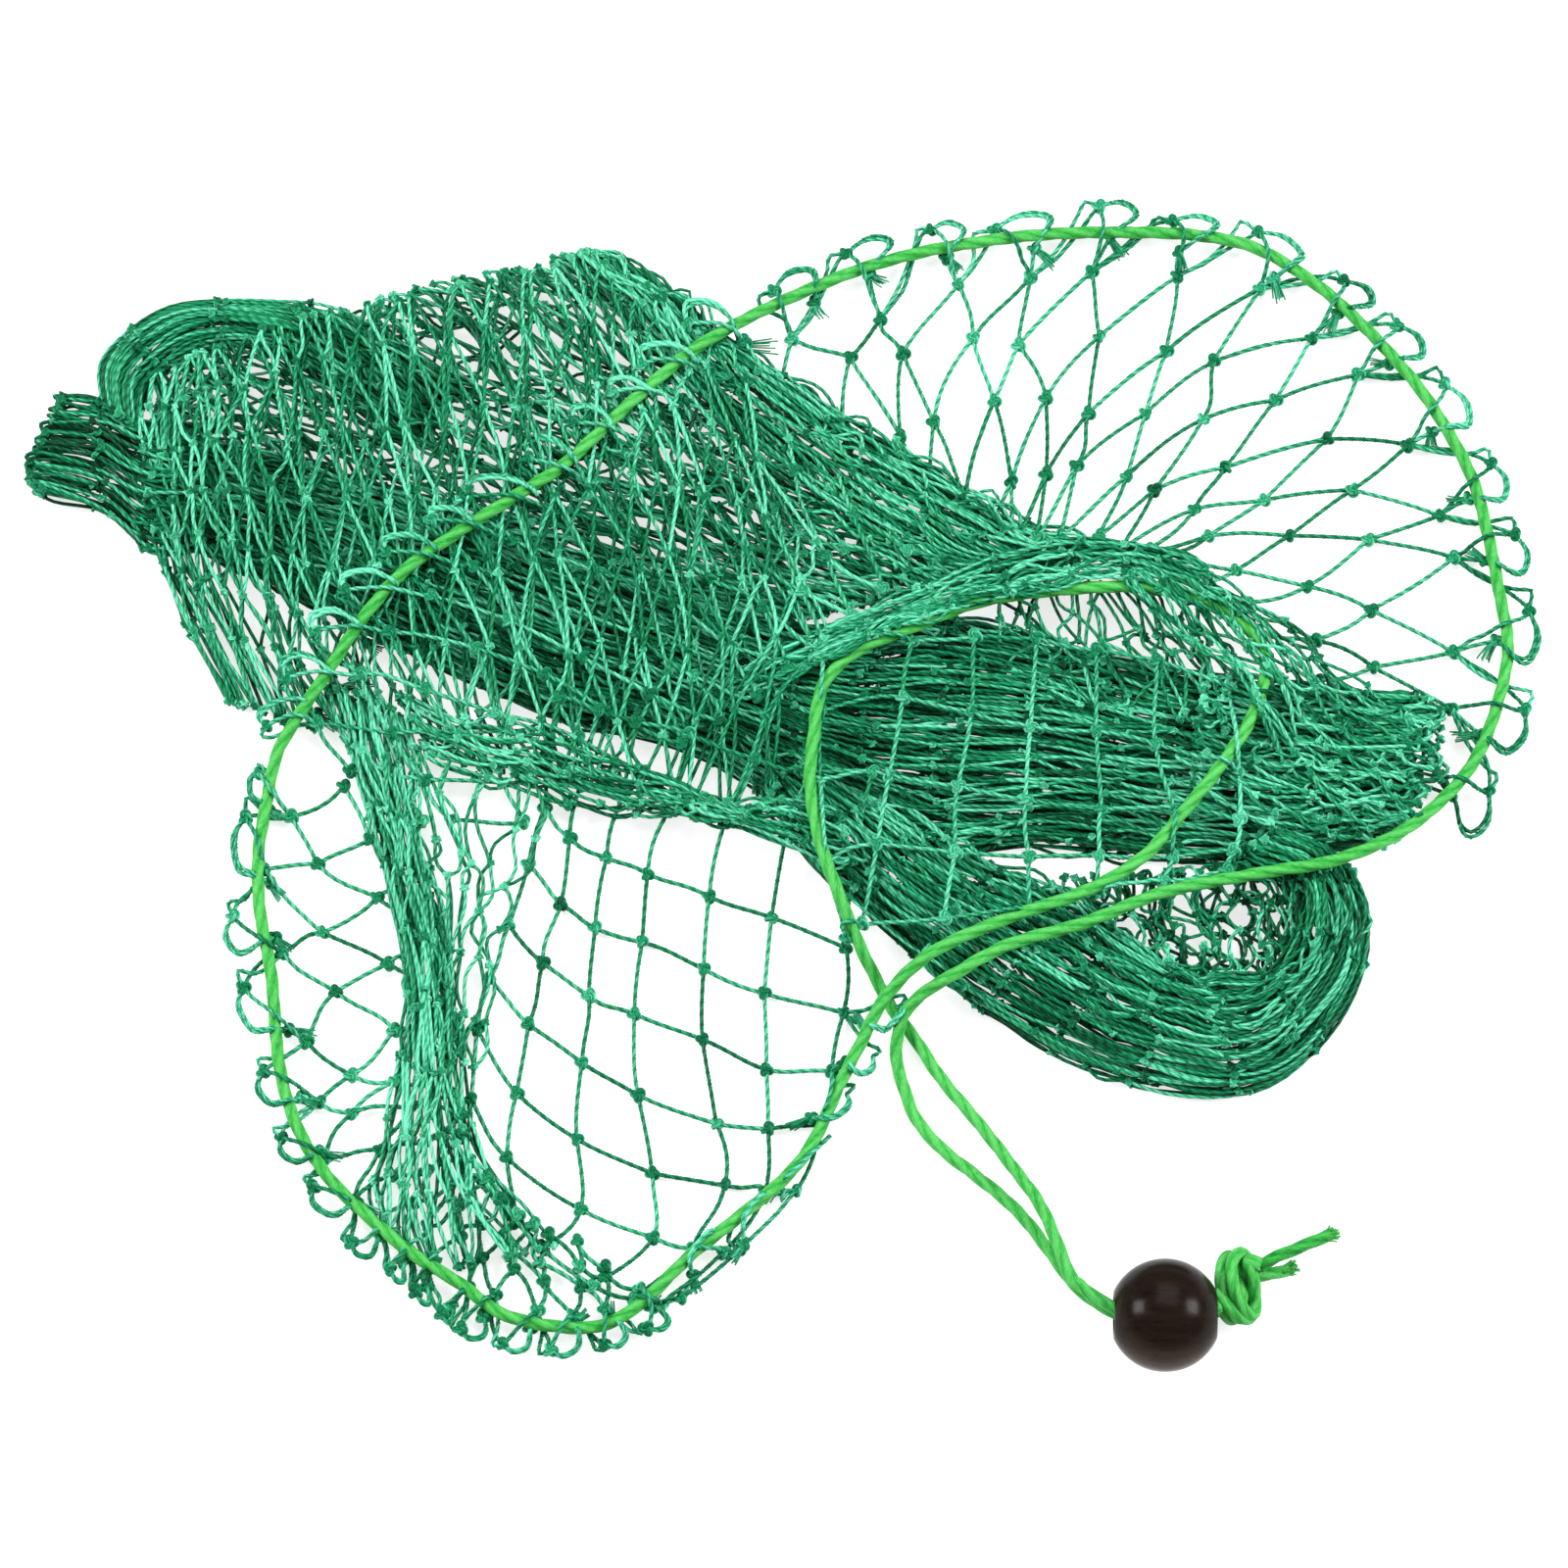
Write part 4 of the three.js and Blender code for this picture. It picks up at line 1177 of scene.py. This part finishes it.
net = netting(35, (-0.35, 0.9))
net.weave(LOBE, 24, 12, lift=1.0, wander=0.4, stagger=1.6, rough=0.5, slack=0.6)
net.layers(CRUMPLE, (13, 11), 8, (0.0, 1.0), wander=1.4, stagger=1.4, rough=0.6, slack=0.6)
net.build("twine_lobe_top", "net_lobe")

net = netting(23, (0.0, 1.0))
net.layers(SHOULDER, (5, 6), 14, (-1.2, -0.4), wander=0.9, stagger=1.4)
net.layers(SLOPE, (14, 16, 17), 12, (-1.0, 0.0, 1.2), wander=1.6, stagger=1.4, slack=0.6)
net.build("twine_shoulder", "net_shoulder")

net = netting(36, (0.0, 1.0))
net.layers(RIDGE, 16, 9, (0.5, 1.6), wander=0.5, stagger=1.4)
net.build("twine_ridge", "net_shoulder")

net = netting(24, (0.05, 1.1))
net.layers(CURTAIN, (16, 19, 22), 8, (-0.8, 0.2, 0.9), wander=1.0, stagger=1.2, rough=0.3, slack=0.25,
           crowd=1.5)
net.layers(HEM, (6, 7), 9, (-0.3, 0.6), wander=0.9, stagger=2.0, slack=0.5)
net.build("twine_skirt", "net_skirt")

net = netting(25, (-0.4, 0.75))
ends = net.layers(COLLAR, 14, 4, (-1.6, -0.3, 0.9), wander=0.5, stagger=0.8, rough=0.5, slack=0.25)
net.hem(ends, 0.9)
net.build("twine_collar", "net_collar")

net = netting(26, (-0.3, 0.75))
net.layers(ARC_FOLD, 15, 6, (-1.4, 0.0, 1.0), wander=0.25, stagger=1.2, rough=0.3, slack=0.2)
net.build("twine_arc_fold", "net_arc_fold")

net = netting(27, (0.05, 0.75))
knots = net.weave(RIGHT_MOUTH, 15, 6, wander=1.2, stagger=1.2, slack=0.25, **OPEN)
net.rim(knots[0], knots[1])
net.build("twine_mouth_right", "net_mouth_right")

net = netting(37, (0.1, 1.0))
net.layers(GATHER, 8, 9, (0.0, 0.9), wander=0.8, stagger=1.8, side=OVER, slack=0.7)
net.layers(SHEAF, (6, 7), 9, (0.0, 0.9), wander=0.8, stagger=1.6, side=OVER, slack=0.35)
net.layers(SCREEN, (8, 9), 5, (-0.4, 0.5), wander=1.4, stagger=1.6, slack=0.4)
net.build("twine_gather", "net_mouth_right")

net = netting(38, (0.0, 1.15))
ends = net.layers(RAGGED_END, (13, 15), 7, (-0.4, 0.6), wander=0.6, stagger=2.4, slack=0.4)
net.hem(ends, 1.2)
net.build("twine_ragged_end", "net_bundle")

net = netting(28, (0.05, 0.75))
knots = net.weave(LEFT_OPEN, 7, 9, square=True, wander=0.2, stagger=0.2, slack=0.15, by_points=True,
                  **OPEN)
# Painted light: these rim loops are drawn lighter than the netting.
net.rim(np.array(RIGHT_TIES, float), knots[3:, -1], tone_and_painted_shade=0.3)
knots = net.weave(LEFT_RIM, 16, 5, wander=0.6, stagger=0.6, slack=0.3, by_points=True, **OPEN)
net.rim(knots[0], knots[1])
# Painted light: the netting lying over the mouth and its rim loops are drawn lighter.
knots = net.weave(OVER_MOUTH, 12, 6, wander=0.8, stagger=0.8, slack=0.3, tone_and_painted_shade=0.3, **OPEN)
net.rim(knots[0], knots[1], size=1.7, tone_and_painted_shade=0.5)
net.build("twine_mouth_left", "net_mouth_left")

net = netting(29, (0.2, 1.15))
net.layers(STRAND, (9, 11), 10, (-0.8, 0.6), wander=0.6, stagger=1.6, slack=0.35)
# Painted shading: the veil's strands are drawn darker.
net.weave(VEIL, 7, 7, wander=1.0, stagger=1.6, rough=0.3, slack=0.6, tone_and_painted_shade=-0.3)
net.build("twine_strand", "net_gathered_strand")

net = netting(30, (0.4, 0.85))
net.weave(BRIDGE, 5, 7, square=True, wander=0.3, stagger=0.3, slack=0.15, by_points=True, **OPEN)
net.build("twine_bridge", "net_bridge")
